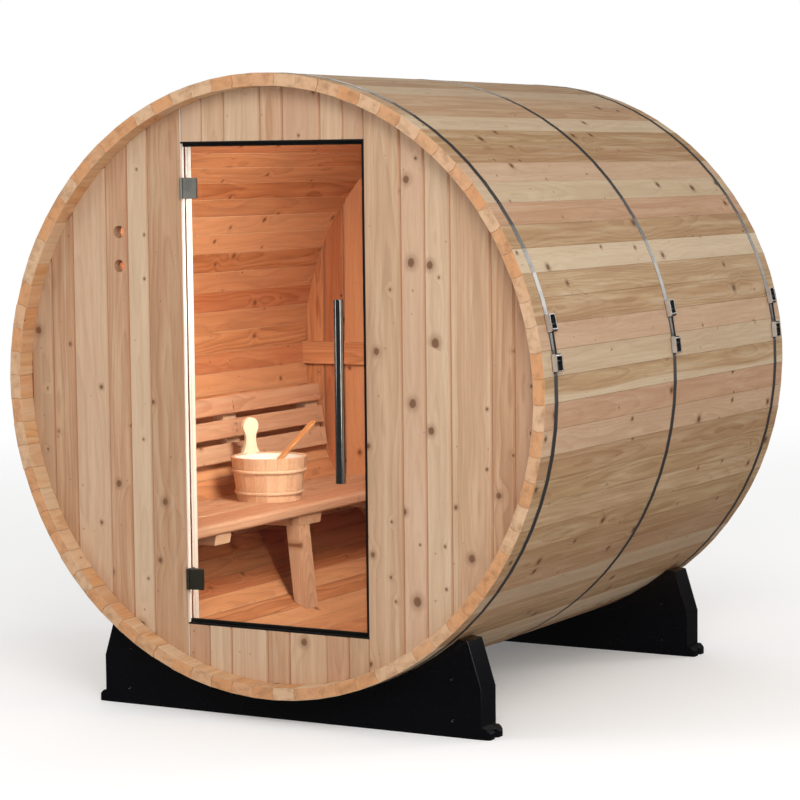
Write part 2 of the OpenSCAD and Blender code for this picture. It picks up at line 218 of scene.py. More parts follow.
def edit(piece, kind="VERT", test=None):
    """Opens a piece in edit mode with only what passes the test selected, or all of it."""
    activate(piece)
    bpy.ops.object.mode_set(mode="EDIT")
    bpy.ops.mesh.select_mode(type=kind)
    bpy.ops.mesh.select_all(action="SELECT" if test is None else "DESELECT")
    if test is not None:
        mesh = bmesh.from_edit_mesh(piece.data)
        for item in {"VERT": mesh.verts, "EDGE": mesh.edges, "FACE": mesh.faces}[kind]:
            if test(item):
                item.select_set(True)
        mesh.select_flush_mode()
        bmesh.update_edit_mesh(piece.data)


def done():
    bpy.ops.object.mode_set(mode="OBJECT")


def edge_along(axis, where=lambda middle: True):
    """A test for edges that run along an axis, with their middle in the given place."""
    def test(edge):
        run = edge.verts[1].co - edge.verts[0].co
        middle = (edge.verts[0].co + edge.verts[1].co) / 2
        return abs(run.normalized().dot(axis)) > 0.999 and where(middle)
    return test


def round_edges(piece, test, width, segments=3):
    """Bevels the edges that pass the test."""
    edit(piece, "EDGE", test)
    bpy.ops.mesh.bevel(offset=width, segments=segments, affect="EDGES")
    done()
    return piece


def cut(piece, point, normal):
    """Takes away what lies beyond a plane and closes the cut."""
    edit(piece)
    bpy.ops.mesh.bisect(
        plane_co=point, plane_no=normal, use_fill=True, clear_outer=True, threshold=CLOSE)
    done()
    return piece


def slice_at(piece, point, normal):
    """Adds a loop of edges where a plane crosses the piece."""
    edit(piece)
    bpy.ops.mesh.bisect(plane_co=point, plane_no=normal, threshold=CLOSE)
    done()


def apply(piece, kind, **settings):
    """Adds a modifier and applies it."""
    activate(piece)
    modifier = piece.modifiers.new(kind.title(), kind)
    for name, value in settings.items():
        setattr(modifier, name, value)
    bpy.ops.object.modifier_apply(modifier=modifier.name)


def soften(piece, width=0.002, segments=2, angle=35):
    """Rounds every sharp edge a little."""
    apply(piece, "BEVEL", width=width, segments=segments, limit_method="ANGLE",
          angle_limit=math.radians(angle), use_clamp_overlap=True)
    return piece


def carve(piece, tool):
    """Cuts a tool's shape out of a piece and throws the tool away."""
    apply(piece, "BOOLEAN", operation="DIFFERENCE", solver="EXACT", object=tool)
    bpy.data.objects.remove(tool)


def fit_in_barrel(piece):
    """Trims a piece to the flat faces of the staves round it."""
    radius = INNER - SEAT
    turns = math.pi / 2 + JOINT_TURN + (np.arange(STAVES) + 0.5) * STEP
    for _ in range(MOST_CUTS):
        ends = points_of(piece.data) - np.array(AXIS)
        beyond = (np.outer(ends[:, 0], np.cos(turns)) + np.outer(ends[:, 2], np.sin(turns))).max(0)
        worst = int(beyond.argmax())
        if beyond[worst] < radius + 2e-5:
            break
        normal = Vector((math.cos(turns[worst]), 0, math.sin(turns[worst])))
        cut(piece, AXIS + normal * radius, normal)
    return piece


def points_of(mesh):
    """The places of a mesh's points, one in each row."""
    points = np.empty(len(mesh.vertices) * 3)
    mesh.vertices.foreach_get("co", points)
    return points.reshape(-1, 3)


def copy_of(piece, name, move):
    """A copy with its own mesh, moved by a matrix."""
    twin = piece.copy()
    twin.data = piece.data.copy()
    twin.name = twin.data.name = name
    twin.data.transform(move)
    if move.determinant() < 0:
        twin.data.flip_normals()
    bpy.context.scene.collection.objects.link(twin)
    return twin


def join(pieces, name):
    """Makes one piece of several."""
    deselect()
    for piece in pieces:
        piece.select_set(True)
    bpy.context.view_layer.objects.active = pieces[0]
    if len(pieces) > 1:
        bpy.ops.object.join()
    pieces[0].name = pieces[0].data.name = name
    return pieces[0]


def turn_about(point, angle, axis):
    point = Vector(point)
    return Matrix.Translation(point) @ Matrix.Rotation(angle, 4, axis) @ Matrix.Translation(-point)


def settle(piece, body, finish, slot, *nodes, angle=30):
    """Shades a finished piece, gives it its finish and ties it to the frame."""
    activate(piece)
    bpy.ops.object.shade_smooth_by_angle(angle=math.radians(angle))
    apply(piece, "WEIGHTED_NORMAL", keep_sharp=True)
    piece.data.materials.clear()
    piece.data.materials.append(finish)
    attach(piece, body)
    if nodes:
        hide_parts(*nodes)
    return piece


def refinish(node, name):
    """Gives a piece of the frame that stays as it is another finish."""
    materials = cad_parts[node].data.materials
    materials.clear()
    materials.append(finish_named(name))


def face_finish(piece, finish, test):
    """Gives the faces that pass the test, on their middle and normal, another finish."""
    piece.data.materials.append(finish)
    for face in piece.data.polygons:
        if test(face.center, face.normal):
            face.material_index = len(piece.data.materials) - 1


def lay_grain(piece, along, face, key, shade=None, blush=None):
    """Stores each point's place in its board (across, along and into it) and the board's tone."""
    luck = random.Random(f"{bpy.context.scene.sauna_sizes.seed}-{key}")
    along, face = Vector(along).normalized(), Vector(face).normalized()
    across = along.cross(face)
    points = points_of(piece.data)
    middle = (points.min(0) + points.max(0)) / 2
    depth = (points @ np.array(face)).max() - points @ np.array(face)
    place = np.stack([
        (points - middle) @ np.array(across) + luck.uniform(-0.035, 0.035),
        points @ np.array(along) + luck.uniform(0, 60),
        depth + luck.uniform(0.03, 0.12)], 1)
    tone = [
        luck.uniform(-1, 0.8) if shade is None else shade,
        luck.uniform(-0.6, 1) if blush is None else blush,
        luck.random()]
    # inset: how deep each point lies below the nearer face, which wood() uses for end-grain colour
    # and for painted shade in chamfers and joints
    inset = np.minimum(depth, depth.max() - depth)
    for name, kind, key, values in (
            ("grain", "FLOAT_VECTOR", "vector", place.ravel()),
            ("inset", "FLOAT", "value", inset),
            ("tone", "FLOAT_VECTOR", "vector", np.tile(tone, len(points)))):
        piece.data.attributes.new(name, kind, "POINT").data.foreach_set(key, values.astype("f"))
    return piece


# ---- finishes ----


class Wire:
    """A number that comes out of a material's node, with arithmetic on it."""

    def __init__(self, finish, socket):
        self.finish, self.socket = finish, socket

    def maths(self, operation, *values):
        return self.finish.add("ShaderNodeMath", {"operation": operation}, dict(enumerate(values)))

    def __add__(self, other):
        return self.maths("ADD", self, other)

    __radd__ = __add__

    def __sub__(self, other):
        return self.maths("SUBTRACT", self, other)

    def __rsub__(self, other):
        return self.maths("SUBTRACT", other, self)

    def __mul__(self, other):
        return self.maths("MULTIPLY", self, other)

    __rmul__ = __mul__

    def __truediv__(self, other):
        return self.maths("DIVIDE", self, other)

    def __pow__(self, other):
        return self.maths("POWER", self, other)

    def __lt__(self, other):
        return self.maths("LESS_THAN", self, other)

    def fraction(self):
        return self.maths("FRACT", self)

    def at_least(self, low):
        return self.maths("MAXIMUM", self, low)

    def fade(self, start, end):
        """0 at start and 1 at end, with a soft change between them."""
        return self.finish.add(
            "ShaderNodeMapRange", {"interpolation_type": "SMOOTHSTEP"},
            {"Value": self, "From Min": start, "From Max": end})


class Finish:
    """A material, or the sky, and the nodes that make it."""

    def __init__(self, name, sky=False):
        self.material = (bpy.data.worlds if sky else bpy.data.materials).new(name)
        self.material.use_nodes = True
        self.tree = self.material.node_tree
        self.tree.nodes.clear()

    def add(self, kind, settings=None, sockets=None, out=0):
        """Adds a node with its settings and socket values, and gives one of its outputs."""
        node = self.tree.nodes.new(kind)
        for name, value in (settings or {}).items():
            setattr(node, name, value)
        for name, value in (sockets or {}).items():
            socket = node.inputs[name]
            if isinstance(value, Wire):
                self.tree.links.new(value.socket, socket)
            elif socket.type == "RGBA" and len(value) == 3:
                socket.default_value = (*value, 1)
            else:
                socket.default_value = value
        return Wire(self, node.outputs[out])

    def attribute(self, name, out="Vector"):
        return self.add("ShaderNodeAttribute", {"attribute_name": name}, out=out)

    def place(self):
        return self.add("ShaderNodeTexCoord", out="Object")

    def split(self, vector):
        parts = self.add("ShaderNodeSeparateXYZ", None, {0: vector}).socket.node
        return [Wire(self, socket) for socket in parts.outputs]

    def vector(self, x=0.0, y=0.0, z=0.0):
        return self.add("ShaderNodeCombineXYZ", None, {0: x, 1: y, 2: z})

    def stretch(self, vector, by):
        return self.add("ShaderNodeVectorMath", {"operation": "MULTIPLY"}, {0: vector, 1: by})

    def noise(self, vector, scale, detail=2.0, rough=0.5):
        return self.add(
            "ShaderNodeTexNoise", None,
            {"Vector": vector, "Scale": scale, "Detail": detail, "Roughness": rough})

    def mix(self, share, a, b):
        return self.add("ShaderNodeMix", {"data_type": "RGBA"}, {0: share, 6: a, 7: b}, out=2)

    def bump(self, height, strength, distance):
        return self.add(
            "ShaderNodeBump", None,
            {"Strength": strength, "Distance": distance, "Height": height})

    def surface(self, **sockets):
        """Ends the material in one Principled shader."""
        names = {
            name.replace("_", " ").title().replace("Ior", "IOR"): value
            for name, value in sockets.items()}
        shader = self.add("ShaderNodeBsdfPrincipled", None, names)
        self.add_output(shader)
        return self.material

    def add_output(self, shader, kind="ShaderNodeOutputMaterial"):
        node = self.tree.nodes.new(kind)
        self.tree.links.new(shader.socket, node.inputs["Surface"])


def wood(name, base, ring, pale, blush, ring_gap=0.007, knots=0.6, knot_size=1.0, rough=0.55,
         contrast=1.0, sapwood=0.3, end_and_joint_shade_colour=None, end_and_joint_shade_share=0.0):
    """Softwood with growth rings, knots, fibres and a tone for each board."""
    f = Finish(name)
    knot = bpy.context.scene.sauna_colours.knot
    place = f.attribute("grain")
    across, along, depth = f.split(place)
    shade, warmth, luck = f.split(f.attribute("tone"))
    ragged = (f.noise(f.stretch(place, (90, 90, 14)), 1.0, 3.0) - 0.5) * 0.005

    # branches, each in its own cell of the board's face, and the pin knots between them
    def branches(pitch, share, least, most, shift):
        cells = f.add(
            "ShaderNodeTexVoronoi", {"voronoi_dimensions": "2D", "feature": "F1"},
            {"Vector": f.vector(along * 0.86 + shift, across), "Scale": pitch}, out="Distance")
        chance, size, _ = f.split(Wire(f, cells.socket.node.outputs["Color"]))
        return chance < share, cells / pitch + ragged, size * size * most + least

    live, apart, radius = branches(7.4, knots, 0.0026 * knot_size, 0.0078 * knot_size, 0.0)
    swirl = live * (1 - (apart / (radius * 7)).fade(0, 1))
    halo = live * (1 - (apart / (radius * 2.6)).fade(0.25, 1))
    heart = live * (1 - (apart / radius).fade(0.7, 1.1))
    pin_live, pin_apart, pin_radius = branches(17.0, knots * 0.4, 0.0012, 0.0016, 3.3)
    pin = pin_live * (1 - (pin_apart / pin_radius).fade(0.5, 1.6))

    # growth rings round the middle of the tree
    wander = f.noise(f.stretch(place, (5, 1.3, 5)), 1.0, 2.0) - 0.5
    waves = f.noise(f.stretch(place, (30, 4.5, 30)), 1.0, 2.0) - 0.5
    reach = (across * across + depth * depth) ** 0.5 + wander * 0.05
    rings = reach + waves * 0.006 + along * 0.005 + swirl * 0.006
    turn = (rings / ring_gap).fraction()
    late = turn ** 2.0 * (1 - turn.fade(0.88, 1.0))
    vary = f.noise(f.vector(rings * 38, luck * 9), 1.0, 2.0)

    # fibres and slow streaks along the board
    fibre = f.noise(f.stretch(place, (620, 14, 620)), 1.0, 3.0, 0.6)
    streak = f.noise(f.stretch(place, (46, 2.2, 46)), 1.0, 4.0, 0.62)
    outer_wood = (reach - luck * 0.13).fade(0.034, 0.042)

    mixed = f.mix(late * (vary * 1.7 + 0.05) * contrast, base, ring)
    mixed = f.mix(streak.fade(0.42, 0.74) * 0.42, mixed, ring)
    mixed = f.mix((1 - streak.fade(0.28, 0.52)) * 0.34, mixed, pale)
    mixed = f.mix(warmth.at_least(0) * 0.5, mixed, blush)
    mixed = f.mix(outer_wood * sapwood * (0.4 + vary * 0.5), mixed, pale)
    mixed = f.mix(shade.at_least(0) * 0.6, mixed, pale)
    mixed = f.mix((0 - shade).at_least(0) * 0.28, mixed, ring)
    mixed = f.mix((fibre - 0.5).at_least(0) * 1.0, mixed, ring)
    mixed = f.mix(halo * 0.5, mixed, [c * 0.75 for c in ring])
    core = f.noise(f.stretch(place, (300, 300, 40)), 1.0, 2.0)
    mixed = f.mix((heart + pin * 0.7) * 0.85, mixed, f.mix(core, knot, [c * 0.6 for c in ring]))
    if end_and_joint_shade_share:
        # sawn ends get their own end-grain colour, pale, orange or brown from board to board, with
        # darker blotches; chamfers and joint sides get the same colour by their depth below the
        # faces, which is painted shade in the joints
        inner = f.attribute("inset", "Fac").fade(0.0003, 0.0022)
        blotch = f.noise(f.stretch(place, (26, 3, 34)), 1.0, 5.0, 0.7).fade(0.38, 0.78)
        end = f.mix(luck.fade(0.3, 1.0) * 0.5, end_and_joint_shade_colour, pale)
        end = f.mix(blotch * 0.75, end, [c * 0.45 for c in end_and_joint_shade_colour])
        mixed = f.mix(inner * end_and_joint_shade_share, mixed, end)

    height = fibre * 0.35 - late * 0.4 - heart * 0.5
    return f.surface(
        base_color=mixed,
        roughness=rough + (fibre - 0.5) * 0.2 - heart * 0.15,
        normal=f.bump(height, 0.35, 0.0006),
        specular_ior_level=0.3)


def brushed_steel(name, colour, rough=0.3, lines=(900, 30, 900), worn=0.08):
    """Steel with fine lines, a few dull patches and faint scratches."""
    f = Finish(name)
    place = f.place()
    hair = f.noise(f.stretch(place, lines), 1.0, 3.0)
    patch = f.noise(place, 26.0, 4.0)
    dull = patch.fade(0.45, 0.75)
    return f.surface(
        base_color=f.mix(dull * 0.5, colour, [c * 0.6 for c in colour]),
        metallic=1.0,
        roughness=rough + hair * 0.12 + dull * worn,
        normal=f.bump(hair, 0.12, 0.0003))


def moulded_plastic(name, colour, rough=0.34, grain=420.0):
    """Moulded plastic with a fine skin, slight sinking and scuffs."""
    f = Finish(name)
    place = f.place()
    skin = f.noise(place, grain, 3.0)
    sink = f.noise(place, 5.0, 2.0)
    scuff = f.noise(f.stretch(place, (9, 9, 60)), 2.0, 5.0, 0.7).fade(0.6, 0.78)
    return f.surface(
        base_color=f.mix(scuff * 0.25, colour, [c * 1.5 + 0.003 for c in colour]),
        roughness=rough + sink * 0.1 + scuff * 0.2,
        normal=f.bump(skin * 0.3 + sink * 2.0, 0.25, 0.0006),
        specular_ior_level=0.5)


def clear_glass(name):
    """Clear toughened glass with a slight green cast and faint wiping marks."""
    f = Finish(name)
    smear = f.noise(f.stretch(f.place(), (3, 3, 1.2)), 2.4, 5.0, 0.65).fade(0.5, 0.8)
    gloss = f.add(
        "ShaderNodeBsdfPrincipled", None,
        {"Base Color": (0.94, 1.0, 0.97), "Metallic": 1.0, "Roughness": smear * 0.05 + 0.015})
    clear = f.add("ShaderNodeBsdfTransparent", None, {"Color": (0.955, 0.985, 0.968)})
    share = f.add("ShaderNodeFresnel", None, {"IOR": 1.48})
    f.add_output(f.add(
        "ShaderNodeMixShader", None, {0: share * (smear * 0.15 + 0.95), 1: clear, 2: gloss}))
    return f.material


# colour, roughness, fineness of the lines along x, y and z, and how dull the patches are
STEELS = {
    "Handle_steel": ((0.40, 0.40, 0.39), 0.07, (300, 300, 8), 0.04),
    "Hinge_steel": ((0.40, 0.40, 0.36), 0.38, (40, 40, 1200)),
    # the lower hinge gets a darker, browner copy of the hinge steel: painted shade
    "Hinge_bronze": ((0.17, 0.155, 0.12), 0.36, (40, 40, 1200)),
    "Band_steel": ((0.50, 0.49, 0.48), 0.32, (30, 900, 30)),
    "Tensioner_steel": ((0.74, 0.74, 0.75), 0.26, (60, 60, 60)),
    # the bracket sides get a paler, rougher copy of the tensioner steel: the roughness is a
    # finish, the paler colour is painted light
    "Plate_steel": ((0.86, 0.85, 0.84), 0.5, (60, 60, 60)),
    # dark steel: the cradle screws' own colour, and painted shade inside the tensioners' bracket
    # pockets
    "Dark_steel": ((0.13, 0.13, 0.135), 0.36),
    "Screw_steel": ((0.5, 0.5, 0.5), 0.3),
}


def finish_named(name):
    """Makes each finish once, when the first piece asks for it."""
    if name in bpy.data.materials:
        return bpy.data.materials[name]
    if name in STEELS:
        return brushed_steel(name, *STEELS[name])
    if name == "Glass":
        return clear_glass(name)
    c = bpy.context.scene.sauna_colours
    plastics = {
        "Rubber": (tint(7, 6, 6), 0.7, 900.0),
        "Cradle_plastic": (c.cradle, 0.22),
        "Liner_plastic": (tint(236, 234, 228), 0.3),
    }
    if name in plastics:
        return moulded_plastic(name, *plastics[name])
    # colours between the rings, of the rings, of sapwood and of pink boards
    cedar = c.cedar, c.cedar_ring, c.pale, c.blush
    # heart: the palette of the inside faces, more orange than the outside: painted warm cabin
    # light
    heart = c.heart, c.painted_warm_light_ring, tint(222, 172, 128), tint(184, 106, 70)
    fine = dict(ring_gap=0.004, knots=0.0, rough=0.42, sapwood=0.0)
    colours, settings = {
        # the end colours below: end grain on sawn ends, and painted shade in chamfers and joints
        "Stave_wood": ((c.stave, c.stave_ring, c.pale, c.blush), dict(
            ring_gap=0.0065, rough=0.66, contrast=0.6, sapwood=0.7,
            end_and_joint_shade_colour=tint(208, 148, 100), end_and_joint_shade_share=0.9)),
        # the inner faces of the staves at the rim get a lighter, more orange copy of the stave
        # wood: painted light
        "Rim_wood": (
            (tint(220, 170, 120), tint(180, 118, 72), c.pale, tint(214, 152, 106)),
            dict(contrast=0.7, rough=0.6)),
        # the three finishes below use the inside palette: painted warm cabin light
        "Inner_stave_wood": (heart, dict(sapwood=0.45, knots=0.85, knot_size=0.8)),
        # the inner walls' dark brown end colour is painted shade in the inner V-joints
        "Inner_wall_wood": (
            heart, dict(sapwood=0.2, end_and_joint_shade_colour=tint(110, 58, 30), end_and_joint_shade_share=0.6)),
        "Rail_wood": (heart, dict(ring_gap=0.006, knots=0.3, rough=0.5, sapwood=0.1)),
        "Wall_wood": ((c.wall, c.wall_ring, c.pale, c.blush), dict(
            ring_gap=0.008, knots=0.62, knot_size=1.3, rough=0.62, contrast=0.6,
            end_and_joint_shade_colour=tint(190, 124, 82), end_and_joint_shade_share=0.35)),
        # the hinge-side jamb faces of the wall and frame boards get a near-white copy of the wood:
        # painted light
        "Jamb_wood": (
            (tint(248, 240, 230), tint(226, 210, 190), tint(252, 248, 242), tint(246, 236, 226)),
            dict(ring_gap=0.0065, knots=0.0, rough=0.5, contrast=0.15, sapwood=0.0)),
        "Bench_wood": (cedar, dict(rough=0.5)),
        "Trim_wood": (cedar, dict(ring_gap=0.005, knots=0.4)),
        "Bucket_wood": (
            (tint(218, 180, 146), tint(188, 136, 98), tint(228, 206, 182), tint(216, 170, 140)),
            dict(fine, contrast=0.35)),
        "Paddle_wood": (
            (tint(246, 226, 196), tint(222, 190, 150), tint(250, 238, 220), tint(246, 220, 190)),
            dict(fine, contrast=0.5)),
        "Ladle_wood": (
            (tint(206, 150, 98), tint(172, 108, 62), tint(220, 176, 128), tint(204, 142, 96)),
            dict(fine, rough=0.4, contrast=0.6)),
    }[name]
    return wood(name, *colours, **settings)


# ---- pieces ----

# tones of some staves, counted back round from the top: how pale, and how pink
STAVE_TONES = {
    -8: (0.85, 0.1), -9: (-0.3, 0.0), -10: (-0.6, 0.2), -11: (0.45, 0.9), -12: (-0.2, 0.1),
    -13: (0.0, 0.9), -14: (-0.5, 0.1), -15: (0.4, 0.2), -16: (0.1, 0.0), -17: (-0.2, 0.1),
    -18: (0.3, 0.9), -19: (-0.3, 0.2),
}
# where the wall boards meet, across the barrel
LEFT_JOINTS = (-0.8765, -0.796, -0.714, -0.591, -0.512, -0.437, DOORWAY_LEFT)
MIDDLE_JOINTS = (DOORWAY_LEFT, -0.241, -0.163, -0.037, 0.040, 0.166, 0.242, DOORWAY_RIGHT)
RIGHT_JOINTS = (DOORWAY_RIGHT, 0.429, 0.506, 0.587, 0.717, 0.789, 0.8765)


def sizes():
    return bpy.context.scene.sauna_sizes


class SAUNA_OT_staves(bpy.types.Operator):
    """Shapes one stave with a rounded edge and a hollow edge, and lays it round the barrel"""

    bl_idname = "sauna.staves"
    bl_label = "Staves"
    bl_options = {"REGISTER", "UNDO"}

    def execute(self, context):
        half = OUTER * math.tan(STEP / 2) - GAP
        low, high = AXIS.z + INNER, AXIS.z + OUTER
        stave = block("stave", (-half, FRONT, low), (half, REAR, high))
        edit(stave, "VERT", lambda v: v.co.z < low + 0.001)
        bpy.ops.transform.resize(value=(INNER / OUTER, 1, 1), center_override=(0, 0, low))
        done()
        levels = [low + STAVE_T * i / 6 for i in range(1, 6)]
        for level in levels:
            slice_at(stave, (0, 0, level), Z)
        for level in levels:
            out = sizes().joint_arc * math.sin(math.pi * (level - low) / STAVE_T)
            edit(stave, "VERT", lambda v: abs(v.co.z - level) < 1e-4)
            bpy.ops.transform.translate(value=(out, 0, 0))
            done()
        soften(stave, sizes().stave_edge)
        slice_at(stave, (0, FRONT_WALL[0][1], 0), Y)
        length = REAR - FRONT
        for group in range(GROUPS):
            turned_staves = []
            for place in range(group * 6 - 3, group * 6 + 3):
                luck = random.Random(f"{sizes().seed}-end-{place}")
                short = [luck.random() ** 2 * sizes().stave_uneven for _ in range(2)]
                angle = JOINT_TURN + (place + 0.5) * STEP
                squeeze = Matrix.Translation((0, FRONT + short[0], 0)) @ Matrix.Scale(
                    (length - sum(short)) / length, 4, Y) @ Matrix.Translation((0, -FRONT, 0))
                twin = copy_of(stave, f"stave_{place}", turn_about(AXIS, -angle, "Y") @ squeeze)
                face = Vector((-math.sin(angle), 0, math.cos(angle)))
                tone = STAVE_TONES.get(place - STAVES, (None, None))
                lay_grain(twin, Y, face, twin.name, *tone)
                turned_staves.append(twin)
            node = f"staves_{group + 1:02d}"
            staves = settle(join(turned_staves, node.capitalize()), "root",
                            finish_named("Stave_wood"), "stave_wood", node)
            # the inner faces at the rim get a lighter, more orange copy of the stave wood: painted
            # light
            face_finish(staves, finish_named("Rim_wood"), towards_axis)
            # the inside faces behind the front wall get a redder, more orange copy of the wood:
            # painted warm cabin light
            face_finish(staves, finish_named("Inner_stave_wood"), in_cabin)
        bpy.data.objects.remove(stave)
        return {"FINISHED"}


def towards_axis(middle, normal):
    """True for the faces on the inside of the barrel."""
    return normal.dot(Vector((middle.x, 0, middle.z - AXIS.z)).normalized()) < -0.9


def in_cabin(middle, normal):
    """True for the inside faces behind the front wall."""
    return middle.y > FRONT_WALL[0][1] and towards_axis(middle, normal)


def on_jamb(middle, normal):
    """True for the faces of the doorway's hinge side."""
    return normal.x > 0.6 and abs(middle.x - DOORWAY_LEFT) < 0.003


class SAUNA_OT_walls(bpy.types.Operator):
    """Cuts the upright boards of both end walls to the barrel, with V-joints and vent holes"""

    bl_idname = "sauna.walls"
    bl_label = "End walls"
    bl_options = {"REGISTER", "UNDO"}

    vent_radius = 0.019
    vents = [(-0.541, AXIS.z + 0.352), (-0.541, AXIS.z + 0.454)]

    def boards(self, name, joints, y, heights, open_sides=(), holes=()):
        """Boards from joint to joint, with a V-joint on each side that no doorway leaves open."""
        made = []
        for i, (left, right) in enumerate(zip(joints, joints[1:])):
            board = block(
                f"{name}_{i}", (left + GAP, y[0], heights[0]), (right - GAP, y[1], heights[1]))
            plain = [x for x in open_sides if left - 0.001 < x < right + 0.001]
            round_edges(board, edge_along(Z, lambda m: all(abs(m.x - x) > 0.002 for x in plain)),
                        sizes().v_joint, 1)
            if plain:
                round_edges(board, edge_along(Z, lambda m: abs(m.x - plain[0]) < 0.002), 0.0004, 1)
            fit_in_barrel(board)
            for x, z in holes:
                if left < x < right:
                    drill = rod("drill", (x, y[0] - 0.01, z), (x, y[1] + 0.01, z),
                                self.vent_radius, 48)
                    carve(board, drill)
            made.append(lay_grain(board, Z, -Y, board.name))
        return join(made, name)

    def execute(self, context):
        finish = finish_named("Wall_wood")
        y = (FRONT_WALL[0][1], FRONT_WALL[1][1])
        full = (AXIS.z - OUTER, AXIS.z + OUTER)
        sides = (DOORWAY_LEFT, DOORWAY_RIGHT)
        walls = [
            self.boards("Front_wall_left", LEFT_JOINTS, y, full, sides, self.vents),
            self.boards("Front_wall_right", RIGHT_JOINTS, y, full, sides),
            self.boards("Front_wall_head", MIDDLE_JOINTS, y, (DOORWAY_HIGH, full[1])),
            self.boards("Front_wall_sill", MIDDLE_JOINTS, y, (full[0], DOORWAY_LOW)),
            self.boards("Back_wall", LEFT_JOINTS + MIDDLE_JOINTS[1:] + RIGHT_JOINTS[1:],
                        (BACK_WALL[0][1], BACK_WALL[1][1]), full)]
        for wall in walls:
            settle(wall, "root", finish, "wall_boards", wall.name.lower())
            # the inside faces of the walls get a redder, more orange copy of the wood: painted
            # warm cabin light
            face_finish(wall, finish_named("Inner_wall_wood"),
                        lambda middle, normal: abs(normal.x) < 0.8 and normal.y * middle.y < 0)
        # the hinge-side jamb faces get a near-white copy of the wood: painted light
        face_finish(walls[0], finish_named("Jamb_wood"), on_jamb)
        return {"FINISHED"}


class SAUNA_OT_trim(bpy.types.Operator):
    """Planes the boards round the doorway and the rail on the back wall"""

    bl_idname = "sauna.trim"
    bl_label = "Frame boards and rail"
    bl_options = {"REGISTER", "UNDO"}

    def execute(self, context):
        for node, along in (
                ("door_frame_left", Z), ("door_frame_right", Z), ("door_frame_head", X),
                ("door_frame_sill", X), ("back_wall_rail", X)):
            rail = node == "back_wall_rail"
            board = fit_in_barrel(block(node.capitalize(), *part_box(node)))
            soften(board, 0.002 if rail else 0.0005)
            lay_grain(board, along, -Y if rail else Y, node)
            settle(board, "root", finish_named("Rail_wood" if rail else "Trim_wood"), "inner_wood",
                   node)
            if node == "door_frame_left":
                # the hinge-side jamb face gets a near-white copy of the wood: painted light
                face_finish(board, finish_named("Jamb_wood"), on_jamb)
        return {"FINISHED"}


